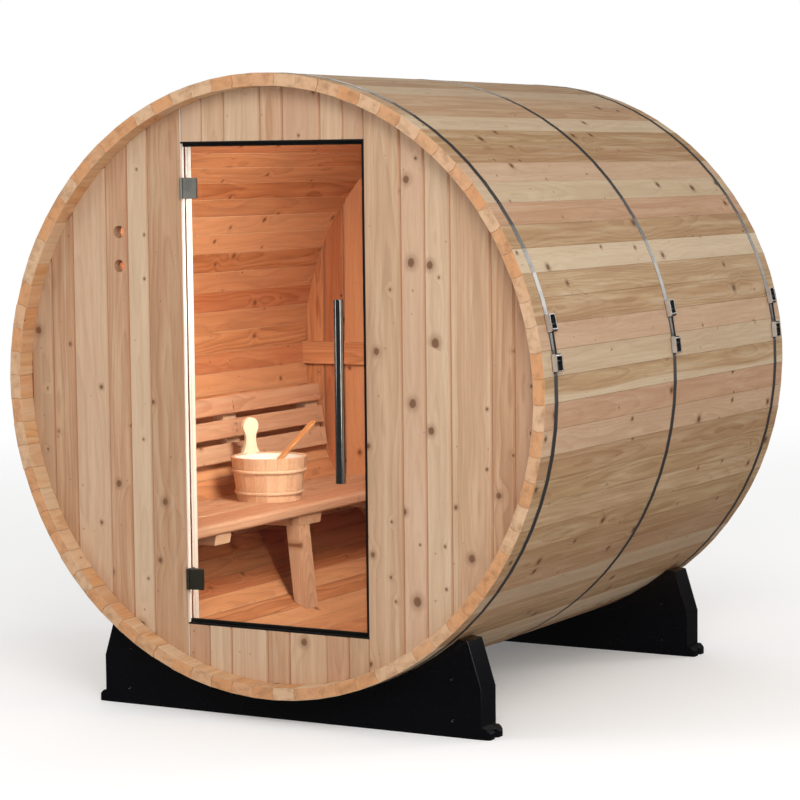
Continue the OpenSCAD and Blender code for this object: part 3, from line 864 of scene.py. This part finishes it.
class SAUNA_OT_door(bpy.types.Operator):
    """Gives the glass and its seal their finishes, and makes the hinges and the handle"""

    bl_idname = "sauna.door"
    bl_label = "Door"
    bl_options = {"REGISTER", "UNDO"}

    def execute(self, context):
        for node, finish in (("door_glass", "Glass"), ("door_seal", "Rubber")):
            refinish(node, finish)
        self.hinges()
        self.handle()
        return {"FINISHED"}

    plate_t = 0.008
    hinge_tall = 0.062
    knuckle_r = 0.005
    screw_r = 0.0045

    def hinges(self):
        low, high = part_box("hinge_clamps")
        front, back = (corner[1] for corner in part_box("door_glass"))
        tall, third, t = self.hinge_tall, self.hinge_tall / 3, self.plate_t
        pin = Vector((DOORWAY_LEFT + 0.005, front - t, 0))
        start = pin.x + 0.007
        clamps, leaves = [], []
        for z in (high[2] - tall / 2, low[2] + tall / 2):
            bottom, top = z - tall / 2, z + tall / 2
            for y, wide in ((front - t, 0.046), (back, 0.036)):
                plate = block("plate", (start, y, bottom), (start + wide, y + t, top))
                clamps.append(soften(plate, 0.0012, 3))
            web = block("web", (start - 0.0015, front - t + 0.0005, bottom + 0.001),
                        (start, back + t - 0.0005, top - 0.001))
            clamps.append(soften(web, 0.0006))
            clamps += [self.screw((start + 0.022, back + t, z + dz)) for dz in (-0.016, 0.016)]
            clamps.append(self.knuckle(pin, bottom + third + SEAT, top - third - SEAT))
            bridge = block("bridge", (pin.x, pin.y + 0.001, bottom + third + 0.0006),
                           (start + 0.001, pin.y + 0.005, top - third - 0.0006))
            clamps.append(soften(bridge, 0.0006))
            leaf = block("leaf", (DOORWAY_LEFT, pin.y + 0.0008, bottom),
                         (DOORWAY_LEFT + 0.004, pin.y + 0.040, top))
            leaves.append(soften(leaf, 0.0006))
            for ends in ((bottom, bottom + third), (top - third, top)):
                leaves.append(self.knuckle(pin, *ends))
        for made, name, body in (
                (clamps, "Hinge_clamps", "door"), (leaves, "Hinge_leaves", "root")):
            hinges = settle(join(made, name), body, finish_named("Hinge_steel"), "hinge_metal",
                            name.lower())
            # the lower hinge gets a darker, browner copy of the hinge steel: painted shade
            face_finish(hinges, finish_named("Hinge_bronze"), lambda middle, normal: middle.z < 1)

    def knuckle(self, pin, bottom, top):
        """One part of a hinge's barrel."""
        return soften(
            rod("knuckle", (pin.x, pin.y, bottom), (pin.x, pin.y, top), self.knuckle_r), 0.0005)

    def screw(self, place):
        """A domed screw head on the glass's inner plate."""
        place, radius = Vector(place), self.screw_r
        head = rod("screw", place - Y * 0.0005, place + Y * radius * 0.4, radius, 20)
        return round_edges(
            head, lambda e: all((v.co - place).dot(Y) > radius * 0.3 for v in e.verts),
            radius * 0.3, 2)

    def handle(self):
        low, high = (Vector(corner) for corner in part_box("door_handle"))
        front, back = (corner[1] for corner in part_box("door_glass"))
        radius, lean, arm_apart = 0.014, math.radians(30), 0.205
        x, y, middle = high.x - radius, low.y + radius, (low.z + high.z) / 2
        stud = x - (front - y) * math.tan(lean)
        bar = rod("bar", (x, y, low.z), (x, y, high.z), radius, 48)
        for end in (low.z, high.z):
            edit(bar, "FACE", lambda f: abs(f.calc_center_median().z - end) < 1e-4)
            bpy.ops.mesh.inset(thickness=0.0022)
            bpy.ops.transform.translate(value=(0, 0, 0.0009 if end == low.z else -0.0009))
            done()
        made = [soften(bar, 0.0007)]
        for z in (middle - arm_apart, middle + arm_apart):
            arm = rod("arm", (x, y, z), (stud - 0.004, front + 0.0069, z), 0.0078)
            made.append(cut(arm, (stud, front, z), Y))
            for name, y0, y1, wide, edge in (
                    ("collar", front - 0.003, front, 0.011, (0.001, 2)),
                    ("washer", back, back + 0.002, 0.0125, None),
                    ("cap", back + 0.002, high.y, 0.0115, (0.0018, 3))):
                disc = rod(name, (stud, y0, z), (stud, y1, z), wide)
                made.append(soften(disc, *edge) if edge else disc)
        settle(join(made, "Door_handle"), "door", finish_named("Handle_steel"), "polished_steel",
               "door_handle")


class SAUNA_OT_bench(bpy.types.Operator):
    """Planes the bench's boards, battens, leg and bearers"""

    bl_idname = "sauna.bench"
    bl_label = "Bench"
    bl_options = {"REGISTER", "UNDO"}

    board_wide, board_gap = 0.140, 0.003
    leg_lean = math.radians(6)
    leg_t = 0.048
    bearer_t = 0.038

    def execute(self, context):
        low, high = (Vector(corner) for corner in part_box("bench_boards"))
        boards = []
        right = high.x
        for i in range(3):
            # the rear board runs on to the staves
            left = -OUTER if i == 2 else right - self.board_wide
            board = block(f"bench_board_{i}", (left, low.y, low.z), (right, high.y, high.z))
            if i == 0:
                round_edges(board, edge_along(Y, lambda m: m.x > right - 0.001),
                            sizes().bench_nose, 5)
            soften(fit_in_barrel(board), 0.0022)
            boards.append(lay_grain(board, Y, Z, board.name, (-0.1, 0.25, 0.0)[i],
                                    (0.9, 0.5, 0.8)[i]))
            right = left - self.board_gap
        self.settle_wood(join(boards, "Bench_boards"))

        battens = []
        low, high = (Vector(corner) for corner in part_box("bench_battens"))
        end_slope = Vector((high.z - low.z, 0, -0.005)).normalized()
        for middle, wide in ((-0.510, 0.088), (0.012, 0.140), (0.510, 0.088)):
            batten = block("batten", (-OUTER, middle - wide / 2, low.z),
                           (high.x, middle + wide / 2, high.z))
            soften(fit_in_barrel(cut(batten, (high.x, 0, high.z), end_slope)))
            battens.append(lay_grain(batten, X, Z, f"batten_{middle}", 0.5, 0.3))
        self.settle_wood(join(battens, "Bench_battens"))

        top = Vector((high.x - 0.005 - self.leg_t / 2, 0, low.z))
        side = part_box("bench_leg")
        leg = block("Bench_leg", (top.x - self.leg_t / 2, side[0][1], -0.1),
                    (top.x + self.leg_t / 2, side[1][1], 0.7))
        leg.data.transform(turn_about(top, -self.leg_lean, "Y"))
        soften(fit_in_barrel(cut(leg, (0, 0, low.z), Z)))
        self.settle_wood(lay_grain(leg, Z, X, "leg", 0.2, 0.4))

        bearers = []
        low, high = (Vector(corner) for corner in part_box("bench_bearers"))
        for y0, y1 in ((low.y, low.y + self.bearer_t), (high.y - self.bearer_t, high.y)):
            bearer = block("bearer", (-OUTER, y0, low.z), (high.x, y1, high.z))
            soften(fit_in_barrel(bearer))
            bearers.append(lay_grain(bearer, X, Y, f"bearer_{y0:.2f}"))
        self.settle_wood(join(bearers, "Bench_bearers"))
        return {"FINISHED"}

    def settle_wood(self, piece):
        settle(piece, "root", finish_named("Bench_wood"), "inner_wood", piece.name.lower())


class SAUNA_OT_backrest(bpy.types.Operator):
    """Planes the backrest's slats and cleats and puts in its screws"""

    bl_idname = "sauna.backrest"
    bl_label = "Backrest"
    bl_options = {"REGISTER", "UNDO"}

    def execute(self, context):
        lean = math.radians(9.3)
        wide, thick, gap = 0.062, 0.022, 0.018
        node_low, node_high = (Vector(corner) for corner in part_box("backrest_slats"))
        # the leaning plane's upper front edge is the slats' highest front corner
        tilt = Matrix.Rotation(-lean, 4, "Y")
        low_edge = -3 * wide - 2 * gap
        corners = [tilt @ Vector((x, 0, z)) for x in (0, -thick) for z in (0, low_edge)]
        hang = Matrix.Translation((
            node_high.x - max(c.x for c in corners), 0,
            node_high.z - max(c.z for c in corners))) @ tilt
        slats, screws = [], []
        head = rod("head", (-0.0004, 0, 0), (0.0012, 0, 0), 0.0042, 16)
        round_edges(head, lambda e: all(v.co.x > 0.001 for v in e.verts), 0.0008, 2)
        cleat_places = -0.717, -0.182, 0.182, 0.717
        for i in range(3):
            top = -i * (wide + gap)
            slat = block(f"slat_{i}", (-thick, node_low.y, top - wide), (0, node_high.y, top))
            soften(slat, 0.0035, 3)
            lay_grain(slat, Y, X, slat.name, (0.1, -0.2, 0.2)[i], 0.7)
            slat.data.transform(hang)
            slats.append(slat)
            for y in cleat_places:
                for dz in (0.02, wide - 0.02):
                    place = Matrix.Translation((0, y, top - dz))
                    screws.append(copy_of(head, "screw", hang @ place))
        bpy.data.objects.remove(head)
        cleats = []
        for y in cleat_places:
            cleat = block("cleat", (-thick - 0.1, y - 0.04, low_edge), (-thick, y + 0.04, 0))
            cleat.data.transform(hang)
            soften(fit_in_barrel(cleat))
            cleats.append(lay_grain(cleat, Z, X, f"cleat_{y}", 0.7, 0.2))
        wood_finish = finish_named("Bench_wood")
        settle(join(slats, "Backrest_slats"), "root", wood_finish, "inner_wood", "backrest_slats")
        settle(join(screws, "Backrest_screws"), "root", finish_named("Screw_steel"), "hinge_metal")
        settle(join(cleats, "Backrest_cleats"), "root", wood_finish, "inner_wood",
               "backrest_cleats")
        return {"FINISHED"}


def turned(name, profile, centre=(0, 0, 0), steps=64):
    """A round piece: its closed half outline, in radii and heights, drawn by point and spun."""
    deselect()
    centre = Vector(centre)
    bpy.ops.mesh.primitive_plane_add(size=0.001, location=centre)
    piece = placed(name)
    edit(piece)
    bpy.ops.mesh.merge(type="CENTER")
    spot = centre.copy()
    for radius, height in (*profile, profile[0]):
        target = centre + Vector((radius, 0, height))
        if spot == centre:
            bpy.ops.transform.translate(value=target - spot)
        else:
            bpy.ops.mesh.extrude_vertices_move(TRANSFORM_OT_translate={"value": target - spot})
        spot = target
    bpy.ops.mesh.select_all(action="SELECT")
    bpy.ops.mesh.spin(steps=steps, angle=2 * math.pi, center=centre, axis=Z)
    bpy.ops.mesh.select_all(action="SELECT")
    bpy.ops.mesh.remove_doubles(threshold=1e-5)
    bpy.ops.mesh.dissolve_degenerate(threshold=1e-6)
    bpy.ops.mesh.select_all(action="SELECT")
    bpy.ops.mesh.normals_make_consistent(inside=False)
    done()
    return piece


class SAUNA_OT_bucket(bpy.types.Operator):
    """Coopers the water bucket with its liner, hoops and raised stave, and carves the ladle"""

    bl_idname = "sauna.bucket"
    bl_label = "Bucket and ladle"
    bl_options = {"REGISTER", "UNDO"}

    tall, rim, foot, wall = 0.147, 0.128, 0.106, 0.014
    stave_t, liner_t, liner_gap = 0.0105, 0.0024, 0.0012
    hoop_heights, hoop_half, hoop_round = (0.029, 0.101), 0.0055, 0.0036
    paddle_rise, knob, shoulder = 0.118, 0.029, 0.034
    paddle_turn, ladle_turn = math.radians(152.6), math.radians(68)

    def radius(self, height):
        """The bucket's outer radius at a height."""
        return self.foot + (self.rim - self.foot) * height / self.tall

    def execute(self, context):
        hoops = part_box("bucket_hoops")
        self.centre = Vector(((hoops[0][0] + hoops[1][0]) / 2, (hoops[0][1] + hoops[1][1]) / 2,
                              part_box("bucket")[0][2]))
        self.staves()
        self.hoops()
        self.paddle()
        self.ladle()
        return {"FINISHED"}

    def staves(self):
        count = sizes().bucket_staves
        turn = 2 * math.pi / count
        skin = self.stave_t
        rim = (self.rim - GAP) * math.cos(turn / 2)
        half = rim * math.tan(turn / 2) - 0.00015
        stave = block("bucket_stave", (rim - skin, -half, 0), (rim, half, self.tall))
        edit(stave, "VERT", lambda v: v.co.x < rim - skin / 2)
        bpy.ops.transform.resize(value=(1, (rim - skin) / rim, 1), center_override=(0, 0, 0))
        bpy.ops.object.mode_set(mode="OBJECT")
        edit(stave, "VERT", lambda v: v.co.z < 0.001)
        shrink = self.foot / self.rim
        bpy.ops.transform.resize(value=(1, shrink, 1), center_override=(0, 0, 0))
        bpy.ops.transform.translate(value=(-(self.rim - self.foot) * math.cos(turn / 2), 0, 0))
        done()
        soften(stave, 0.0011)
        made = []
        for i in range(count):
            twin = copy_of(stave, f"bucket_stave_{i}",
                           Matrix.Translation(self.centre) @ Matrix.Rotation(i * turn, 4, "Z"))
            out = Vector((math.cos(i * turn), math.sin(i * turn), 0))
            made.append(lay_grain(twin, Z, out, twin.name, 0.1 * (i % 3), 0.2 * (i % 2)))
        bpy.data.objects.remove(stave)
        base = turned("bucket_base", [(0, 0.0005), (0.094, 0.0005), (0.0945, 0.0085), (0, 0.0085)],
                      self.centre)
        made.append(lay_grain(base, Y, Z, "bucket_base"))
        settle(join(made, "Bucket_staves"), "root", finish_named("Bucket_wood"), "bucket_wood",
               "bucket")
        # the liner's wall stands inside the staves and rolls over at the rim
        top, low, t = self.tall - 0.006, 0.0092, self.liner_t
        outer_top, outer_low = (
            self.radius(height) - skin - self.liner_gap for height in (top, low))
        liner = turned("Bucket_liner", [
            (0, low), (outer_low - 0.006, low), (outer_low - 0.0015, low + 0.0018),
            (outer_low, low + 0.007), (outer_top, top), (outer_top - 0.0008, top + 0.0012),
            (outer_top - t, top), (outer_low - t, low + 0.008),
            (outer_low - t - 0.002, low + 0.0036), (outer_low - t - 0.007, low + 0.0024),
            (0, low + 0.0024)], self.centre, 72)
        settle(liner, "root", finish_named("Liner_plastic"), "bucket_wood")

    def hoops(self):
        made = []
        half = self.hoop_half
        for height in self.hoop_heights:
            r, lean = self.radius(height), (self.rim - self.foot) / self.tall
            round_side = [(r + SEAT - half * lean, height - half)]
            for i in range(7):
                a = math.radians(-90 + 30 * i)
                round_side.append((
                    r + 0.0012 + self.hoop_round * math.cos(a) + half * math.sin(a) * lean,
                    height + half * math.sin(a)))
            round_side.append((r + SEAT + half * lean, height + half))
            hoop = turned(f"hoop_{height}", round_side, self.centre, 72)
            made.append(lay_grain(hoop, Z, X, hoop.name, 0.4, 0.2))
        settle(join(made, "Bucket_hoops"), "root", finish_named("Bucket_wood"), "bucket_wood",
               "bucket_hoops")

    def paddle(self):
        knob, shoulder, top = self.knob, self.shoulder, self.tall + self.paddle_rise
        outline = [(self.tall + height, half) for height, half in (
            (-0.006, shoulder), (0.002, 0.031), (0.010, 0.026), (0.022, 0.0215), (0.034, 0.019),
            (0.050, 0.018), (0.060, 0.0192))]
        for degrees in range(-30, 81, 10):
            a = math.radians(degrees)
            outline.append((top - knob + knob * math.sin(a), knob * math.cos(a)))
        paddle = block("Bucket_paddle", (-0.0068, -shoulder, outline[0][0]),
                       (0.0068, shoulder, top - SEAT))
        for height, _ in outline[1:]:
            slice_at(paddle, (0, 0, height), Z)
        for height, half in outline + [(top - SEAT, 0.0022)]:
            edit(paddle, "VERT", lambda v: abs(v.co.z - height) < 1e-4)
            bpy.ops.transform.resize(value=(1, half / shoulder, 1), center_override=(0, 0, 0))
            done()
        soften(paddle, 0.0026, 3, 50)
        angle = self.paddle_turn
        paddle.data.transform(
            Matrix.Translation(self.centre) @ Matrix.Rotation(angle, 4, "Z")
            @ Matrix.Translation((self.rim - self.wall / 2, 0, 0)))
        lay_grain(paddle, Z, (math.cos(angle), math.sin(angle), 0), "paddle", 0.2, 0.1)
        settle(paddle, "root", finish_named("Paddle_wood"), "bucket_wood")

    def ladle(self):
        low, high = (Vector(corner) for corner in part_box("ladle"))
        turn, base = self.ladle_turn, low.z
        cup_at = Vector((self.centre.x - 0.052, self.centre.y - 0.030, base))
        r, tall = 0.030, 0.042
        cup = turned("cup", [
            (0, 0), (r - 0.007, 0), (r - 0.0015, 0.0035), (r, 0.012), (r, tall - 0.0012),
            (r - 0.0014, tall), (r - 0.0036, tall), (r - 0.005, tall - 0.0014),
            (r - 0.005, 0.011), (r - 0.0085, 0.006), (0, 0.005)], cup_at, 48)
        lay_grain(cup, Z, X, "cup", 0.1, 0.4)
        # the stick rises from the cup's lip to the top of the ladle's box
        start, stick_t, wide, reach = 0.026, 0.009, 0.024, 0.267
        tilt = math.atan2(high.z - (base + tall), reach - start)
        for _ in range(30):
            length = (reach - start) / math.cos(tilt)
            tip = base + tall - stick_t + length * math.sin(tilt) + stick_t * math.cos(tilt)
            tilt += (high.z - tip) / length * 0.7
        length = (reach - start) / math.cos(tilt)
        stick = block("stick", (0, -wide / 2, 0), (length, wide / 2, stick_t))
        round_edges(stick, edge_along(Z, lambda m: m.x > length / 2), wide * 0.42, 6)
        edit(stick, "VERT", lambda v: v.co.x < 0.001)
        bpy.ops.transform.resize(value=(1, 0.8, 1), center_override=(0, 0, 0))
        done()
        soften(stick, 0.0022, 3)
        stick.data.transform(
            Matrix.Translation(cup_at) @ Matrix.Rotation(turn, 4, "Z")
            @ Matrix.Translation((start, 0, tall - stick_t)) @ Matrix.Rotation(-tilt, 4, "Y"))
        lay_grain(stick, (math.cos(turn), math.sin(turn), 0), Z, "stick", 0.0, 0.3)
        settle(join([cup, stick], "Ladle"), "root", finish_named("Ladle_wood"), "ladle_wood",
               "ladle")


class SAUNA_OT_bands(bpy.types.Operator):
    """Gives the bands their steel and makes the tensioners' brackets, nuts and threaded rods"""

    bl_idname = "sauna.bands"
    bl_label = "Bands and tensioners"
    bl_options = {"REGISTER", "UNDO"}

    def execute(self, context):
        places = []
        for node in ("band_front", "band_middle", "band_rear"):
            low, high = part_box(node)
            places.append((low[1] + high[1]) / 2)
            refinish(node, "Band_steel")
        face = OUTER / math.cos(STEP / 2) + 0.0012 + SEAT

        def in_pocket(middle, normal):
            """True for the faces inside a bracket, between its floor and its open side, which get
            painted shade.
            """
            reach = math.hypot(middle.x, middle.z - AXIS.z)
            aside = min(abs(middle.y - y) for y in places)
            return reach < face + 0.0145 and aside < 0.0145
        out, wide, tall, span = 0.016, 0.034, 0.050, 0.110
        half_angle = math.asin(span / 2 / face)

        # an open box that sits on the band, hollowed from its outer side
        bracket = block("bracket", (face, -wide / 2, -tall / 2), (face + out, wide / 2, tall / 2))
        round_edges(bracket, edge_along(Y, lambda m: m.x > face + out / 2 and m.z < 0), 0.006, 4)
        edit(bracket, "FACE", lambda f: f.normal.x > 0.99)
        bpy.ops.mesh.inset(thickness=0.0028)
        bpy.ops.mesh.extrude_region_move(TRANSFORM_OT_translate={"value": (-out + 0.003, 0, 0)})
        done()
        soften(bracket, 0.0007)
        pin = rod("pin", (face + 0.0075, -wide / 2 + 0.002, -0.004),
                  (face + 0.0075, wide / 2 - 0.002, -0.004), 0.0042, 20)
        soften(pin, 0.0006)

        reach = (face + out / 2) * math.cos(half_angle)
        half = (face + out / 2) * math.sin(half_angle)
        # one turn of the thread, as a ring that stands out in the middle, is repeated
        pitch = 0.0016
        thread = rod("thread", (reach, 0, -half), (reach, 0, -half + pitch), 0.0026, 14)
        slice_at(thread, (0, 0, -half + pitch / 2), Z)
        edit(thread, "VERT", lambda v: abs(v.co.z + half - pitch / 2) < 1e-5)
        bpy.ops.transform.resize(value=(3 / 2.6, 3 / 2.6, 1), center_override=(reach, 0, 0))
        done()
        edit(thread, "FACE", lambda f: abs(f.normal.z) > 0.99)
        bpy.ops.mesh.delete(type="FACE")
        done()
        apply(thread, "ARRAY", count=int(2 * half / pitch), use_relative_offset=False,
              use_constant_offset=True, constant_offset_displace=(0, 0, pitch),
              use_merge_vertices=True, merge_threshold=0.00005)
        edit(thread, "EDGE", lambda e: e.is_boundary)
        bpy.ops.mesh.edge_face_add()
        done()
        nut = rod("nut", (reach, 0, half - 0.0205), (reach, 0, half - 0.0155), 0.0058, 6)
        soften(nut, 0.0005)

        flip = Matrix.Scale(-1, 4, Z)
        upper = Matrix.Rotation(-half_angle, 4, "Y")
        for node, turn in (("tensioners_right", -9.5), ("tensioners_left", 180 + 9.5)):
            made = []
            for y in places:
                spot = Matrix.Translation((0, y, AXIS.z)) @ Matrix.Rotation(
                    math.radians(turn), 4, "Y")
                for part in (bracket, pin):
                    made += [copy_of(part, "bracket", spot @ upper),
                             copy_of(part, "bracket", spot @ flip @ upper)]
                made += [copy_of(thread, "thread", spot), copy_of(nut, "nut", spot),
                         copy_of(nut, "nut", spot @ flip)]
            boxes = settle(join(made, node.capitalize()), "root", finish_named("Tensioner_steel"),
                           "tensioner_steel", node)
            # the bracket sides get a paler, rougher copy of the tensioner steel: the roughness is
            # a finish, the paler colour is painted light
            face_finish(boxes, finish_named("Plate_steel"),
                        lambda middle, normal: abs(normal.y) > 0.95)
            # the faces inside each bracket's pocket get dark steel: painted shade in the hollow
            face_finish(boxes, finish_named("Dark_steel"), in_pocket)
        for part in (bracket, pin, thread, nut):
            bpy.data.objects.remove(part)
        return {"FINISHED"}


class SAUNA_OT_cradles(bpy.types.Operator):
    """Moulds the two cradles with their sloping ends, toes and screws"""

    bl_idname = "sauna.cradles"
    bl_label = "Cradles"
    bl_options = {"REGISTER", "UNDO"}

    foot_out = 0.026
    # the sloping end starts at this height, and ends at the shoulder
    end_low, shoulder_x, shoulder_z, top = 0.145, 0.612, 0.283, 0.287
    screw_places = (0.561, 0.170), (0.563, 0.050)

    def execute(self, context):
        screws = []
        for node in ("cradle_front", "cradle_rear"):
            low, high = (Vector(corner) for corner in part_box(node))
            half = high.x - self.foot_out
            cradle = block(node, (-half, low.y, 0), (half, high.y, self.top))
            for side in (-1, 1):
                run = Vector((self.shoulder_x - half, self.shoulder_z - self.end_low))
                cut(cradle, (side * half, 0, self.end_low),
                    Vector((side * run.y, 0, -run.x)).normalized())
                cut(cradle, (side * self.shoulder_x, 0, self.shoulder_z),
                    Vector((side * 0.124, 0, 1)).normalized())
            saddle = rod("saddle", (0, low.y - 0.01, AXIS.z), (0, high.y + 0.01, AXIS.z),
                         (OUTER + SEAT) / math.cos(STEP / 2), STAVES)
            saddle.data.transform(turn_about(AXIS, self.saddle_turn(saddle), "Y"))
            carve(cradle, saddle)
            toes = []
            for side in (-1, 1):
                toes.append(self.toe(side, half, (low.y + high.y) / 2))
                for x, z in self.screw_places:
                    for face, out in ((low.y, -1), (high.y, 1)):
                        screws.append(self.screw(cradle, side * x, z, face, out))
            soften(cradle, 0.005, 1, 28)
            settle(join([cradle] + toes, node.capitalize()), "root",
                   finish_named("Cradle_plastic"), "cradle_plastic", node)
        settle(join(screws, "Cradle_screws"), "root", finish_named("Dark_steel"),
               "cradle_plastic")
        return {"FINISHED"}

    def toe(self, side, half, middle):
        """The notched toe at one end of a cradle."""
        inner, outer = side * (half - 0.002), side * (half + self.foot_out - GAP)
        toe = block("toe", (min(inner, outer), middle - 0.043, 0),
                    (max(inner, outer), middle + 0.043, 0.034))
        round_edges(toe, edge_along(Y, lambda m: abs(m.x - outer) < 0.001 and m.z > 0.03),
                    0.014, 1)
        round_edges(toe, edge_along(Z, lambda m: abs(m.x - outer) < 0.001), 0.009, 5)
        notch = outer + side * 0.005
        carve(toe, rod("notch", (notch, middle, -0.01), (notch, middle, 0.05), 0.0135, 24))
        return soften(toe, 0.0014)

    def screw(self, cradle, x, z, face, out):
        """Sinks a well into a cradle's face and puts a six-sided head in it."""
        carve(cradle, rod("well", (x, face + out * 0.002, z), (x, face - out * 0.004, z),
                          0.0055, 20))
        head = rod("screw", (x, face - out * 0.0042, z), (x, face - out * 0.0015, z), 0.0042, 6)
        return soften(head, 0.0007)

    def saddle_turn(self, saddle):
        """How far to turn the saddle's corners so that they lie at the joints of the staves."""
        corner = saddle.data.vertices[0].co - AXIS
        angle = math.atan2(corner.z, corner.x) - math.pi / 2 - JOINT_TURN
        return math.remainder(angle, STEP)


class SAUNA_OT_stage(bpy.types.Operator):
    """Sets out the floor, the lights and the camera"""

    bl_idname = "sauna.stage"
    bl_label = "Floor, lights and camera"
    bl_options = {"REGISTER", "UNDO"}

    def execute(self, context):
        stage = bpy.context.scene.sauna_stage
        self.floor()
        self.sky(stage.sky)
        white = 1, 0.985, 0.97
        for name, place, aim, size, watts, colour, spread in (
                ("Key", (3.9, -5.7, 4.3), (0, 0, 0.9), (3.2, 3.2), stage.key, white, 180),
                ("Fill", (-5.0, -5.0, 4.2), (0, -0.4, 0.9), (3.2, 3.2), stage.fill * 1.2, white,
                 180),
                ("Side", (4.8, 5.4, 3.4), (0.9, 0, 1.2), (1.8, 1.8), stage.side, white, 180),
                ("Rear", (-3.5, 5.5, 4.5), (0, 0, 1), (3.0, 3.0), stage.fill * 0.7, white, 180),
                ("Strip_left", (-3.3, -3.7, 1.5), (0.2, -0.9, 1.4), (0.9, 1.7), 11, white, 180),
                ("Strip_right", (3.95, -2.45, 1.4), (0.5, -0.9, 1.2), (0.9, 1.9), 17, white, 180),
                ("Cabin", (0.34, -0.58, 1.60), (-0.75, 0.12, 0.92), (0.4, 0.4), stage.cabin,
                 (1, 0.83, 0.74), 105),
                ("Doorway", (0.33, -0.70, 0.75), (-0.5, -0.45, 0.35), (0.06, 0.8),
                 stage.cabin * 0.28, (1, 0.88, 0.80), 120),
                ("Jamb", (0.30, -0.775, 1.45), (-0.33, -0.785, 1.45), (0.02, 0.7), 0.55, white,
                 40)):
            self.lamp(name, place, aim, size, watts, colour, spread)
        bpy.context.scene.view_settings.view_transform = "Standard"
        self.camera()
        return {"FINISHED"}

    def floor(self):
        """A pale floor that fades away a few metres out and that nothing mirrors."""
        deselect()
        bpy.ops.mesh.primitive_plane_add(size=60, location=(0, 0, 0))
        floor = placed("Floor")
        f = Finish("Floor")
        across, along, _ = f.split(f.place())
        far = ((across * across + along * along) ** 0.5).fade(3.5, 9)
        seen = f.add("ShaderNodeLightPath", out="Is Camera Ray")
        speck = f.noise(f.place(), 3.0, 3.0) * 0.02
        shade = f.mix(seen, (0.62, 0.62, 0.62), f.mix(speck, (0.95, 0.95, 0.95), (0.8, 0.8, 0.8)))
        matt = f.add("ShaderNodeBsdfDiffuse", None, {"Color": shade})
        lift = f.add("ShaderNodeEmission", None, {"Color": (1, 1, 1), "Strength": seen * 0.14})
        near = f.add("ShaderNodeAddShader", None, {0: matt, 1: lift})
        clear = f.add("ShaderNodeBsdfTransparent", None, {"Color": (1, 1, 1)})
        f.add_output(f.add("ShaderNodeMixShader", None, {0: far, 1: near, 2: clear}))
        floor.data.materials.append(f.material)
        floor.visible_glossy = False

    def sky(self, strength):
        """Even light from all sides, dim where it is mirrored and white where it is seen."""
        f = Finish("Sky", sky=True)
        seen = f.add("ShaderNodeLightPath", out="Is Camera Ray")
        mirrored = Wire(f, seen.socket.node.outputs["Is Glossy Ray"])
        even, dim, white = (
            f.add("ShaderNodeBackground", None, {"Color": (1, 1, 1), "Strength": level})
            for level in (strength, 0.05, 1.0))
        light = f.add("ShaderNodeMixShader", None, {0: mirrored, 1: even, 2: dim})
        f.add_output(f.add("ShaderNodeMixShader", None, {0: seen, 1: light, 2: white}),
                     "ShaderNodeOutputWorld")
        bpy.context.scene.world = f.material

    def lamp(self, name, place, aim, size, watts, colour, spread):
        """A light of the given width and height, hidden from the camera and turned to a point."""
        bpy.ops.object.light_add(type="AREA", location=place)
        lamp = bpy.context.object
        lamp.name = lamp.data.name = name
        lamp.rotation_euler = (Vector(aim) - Vector(place)).to_track_quat("-Z", "Y").to_euler()
        lamp.data.shape, lamp.data.size, lamp.data.size_y = "RECTANGLE", *size
        lamp.data.energy, lamp.data.color = watts, colour
        lamp.data.spread = math.radians(spread)
        lamp.visible_camera = False

    def camera(self):
        place, aim = Vector((4.2119, -7.5456, 1.6382)), Vector((0.0344, 0.0125, 0.8187))
        bpy.ops.object.camera_add(location=place)
        camera = bpy.context.object
        camera.name = camera.data.name = "Camera"
        track = (aim - place).to_track_quat("-Z", "Y").to_matrix().to_4x4()
        camera.matrix_world = (
            Matrix.Translation(place) @ track @ Matrix.Rotation(math.radians(-0.5725), 4, "Z"))
        camera.data.lens, camera.data.sensor_width = 122.13, 36
        camera.data.shift_x, camera.data.shift_y = -0.0289, 0.0289
        bpy.context.scene.camera = camera


STEPS = (
    SAUNA_OT_staves, SAUNA_OT_walls, SAUNA_OT_trim, SAUNA_OT_door, SAUNA_OT_bench,
    SAUNA_OT_backrest, SAUNA_OT_bucket, SAUNA_OT_bands, SAUNA_OT_cradles, SAUNA_OT_stage,
)


class SAUNA_PT_panel(bpy.types.Panel):
    """Lists the steps, sizes and colours of the sauna"""

    bl_idname = "SAUNA_PT_panel"
    bl_label = "Barrel Sauna"
    bl_space_type = "VIEW_3D"
    bl_region_type = "UI"
    bl_category = "Sauna"

    def draw(self, context):
        for step in STEPS:
            self.layout.operator(step.bl_idname)
        for group in (context.scene.sauna_sizes, context.scene.sauna_colours,
                      context.scene.sauna_stage):
            box = self.layout.box()
            for name in group.bl_rna.properties.keys():
                if name not in ("rna_type", "name"):
                    box.prop(group, name)


CLASSES = (SaunaSizes, SaunaColours, SaunaStage, *STEPS, SAUNA_PT_panel)


def register():
    for cls in CLASSES:
        bpy.utils.register_class(cls)
    bpy.types.Scene.sauna_sizes = PointerProperty(type=SaunaSizes)
    bpy.types.Scene.sauna_colours = PointerProperty(type=SaunaColours)
    bpy.types.Scene.sauna_stage = PointerProperty(type=SaunaStage)


def unregister():
    del bpy.types.Scene.sauna_sizes
    del bpy.types.Scene.sauna_colours
    del bpy.types.Scene.sauna_stage
    for cls in reversed(CLASSES):
        bpy.utils.unregister_class(cls)


def main():
    register()
    for step in STEPS:
        group, name = step.bl_idname.split(".")
        getattr(getattr(bpy.ops, group), name)()


if __name__ == "__main__":
    main()
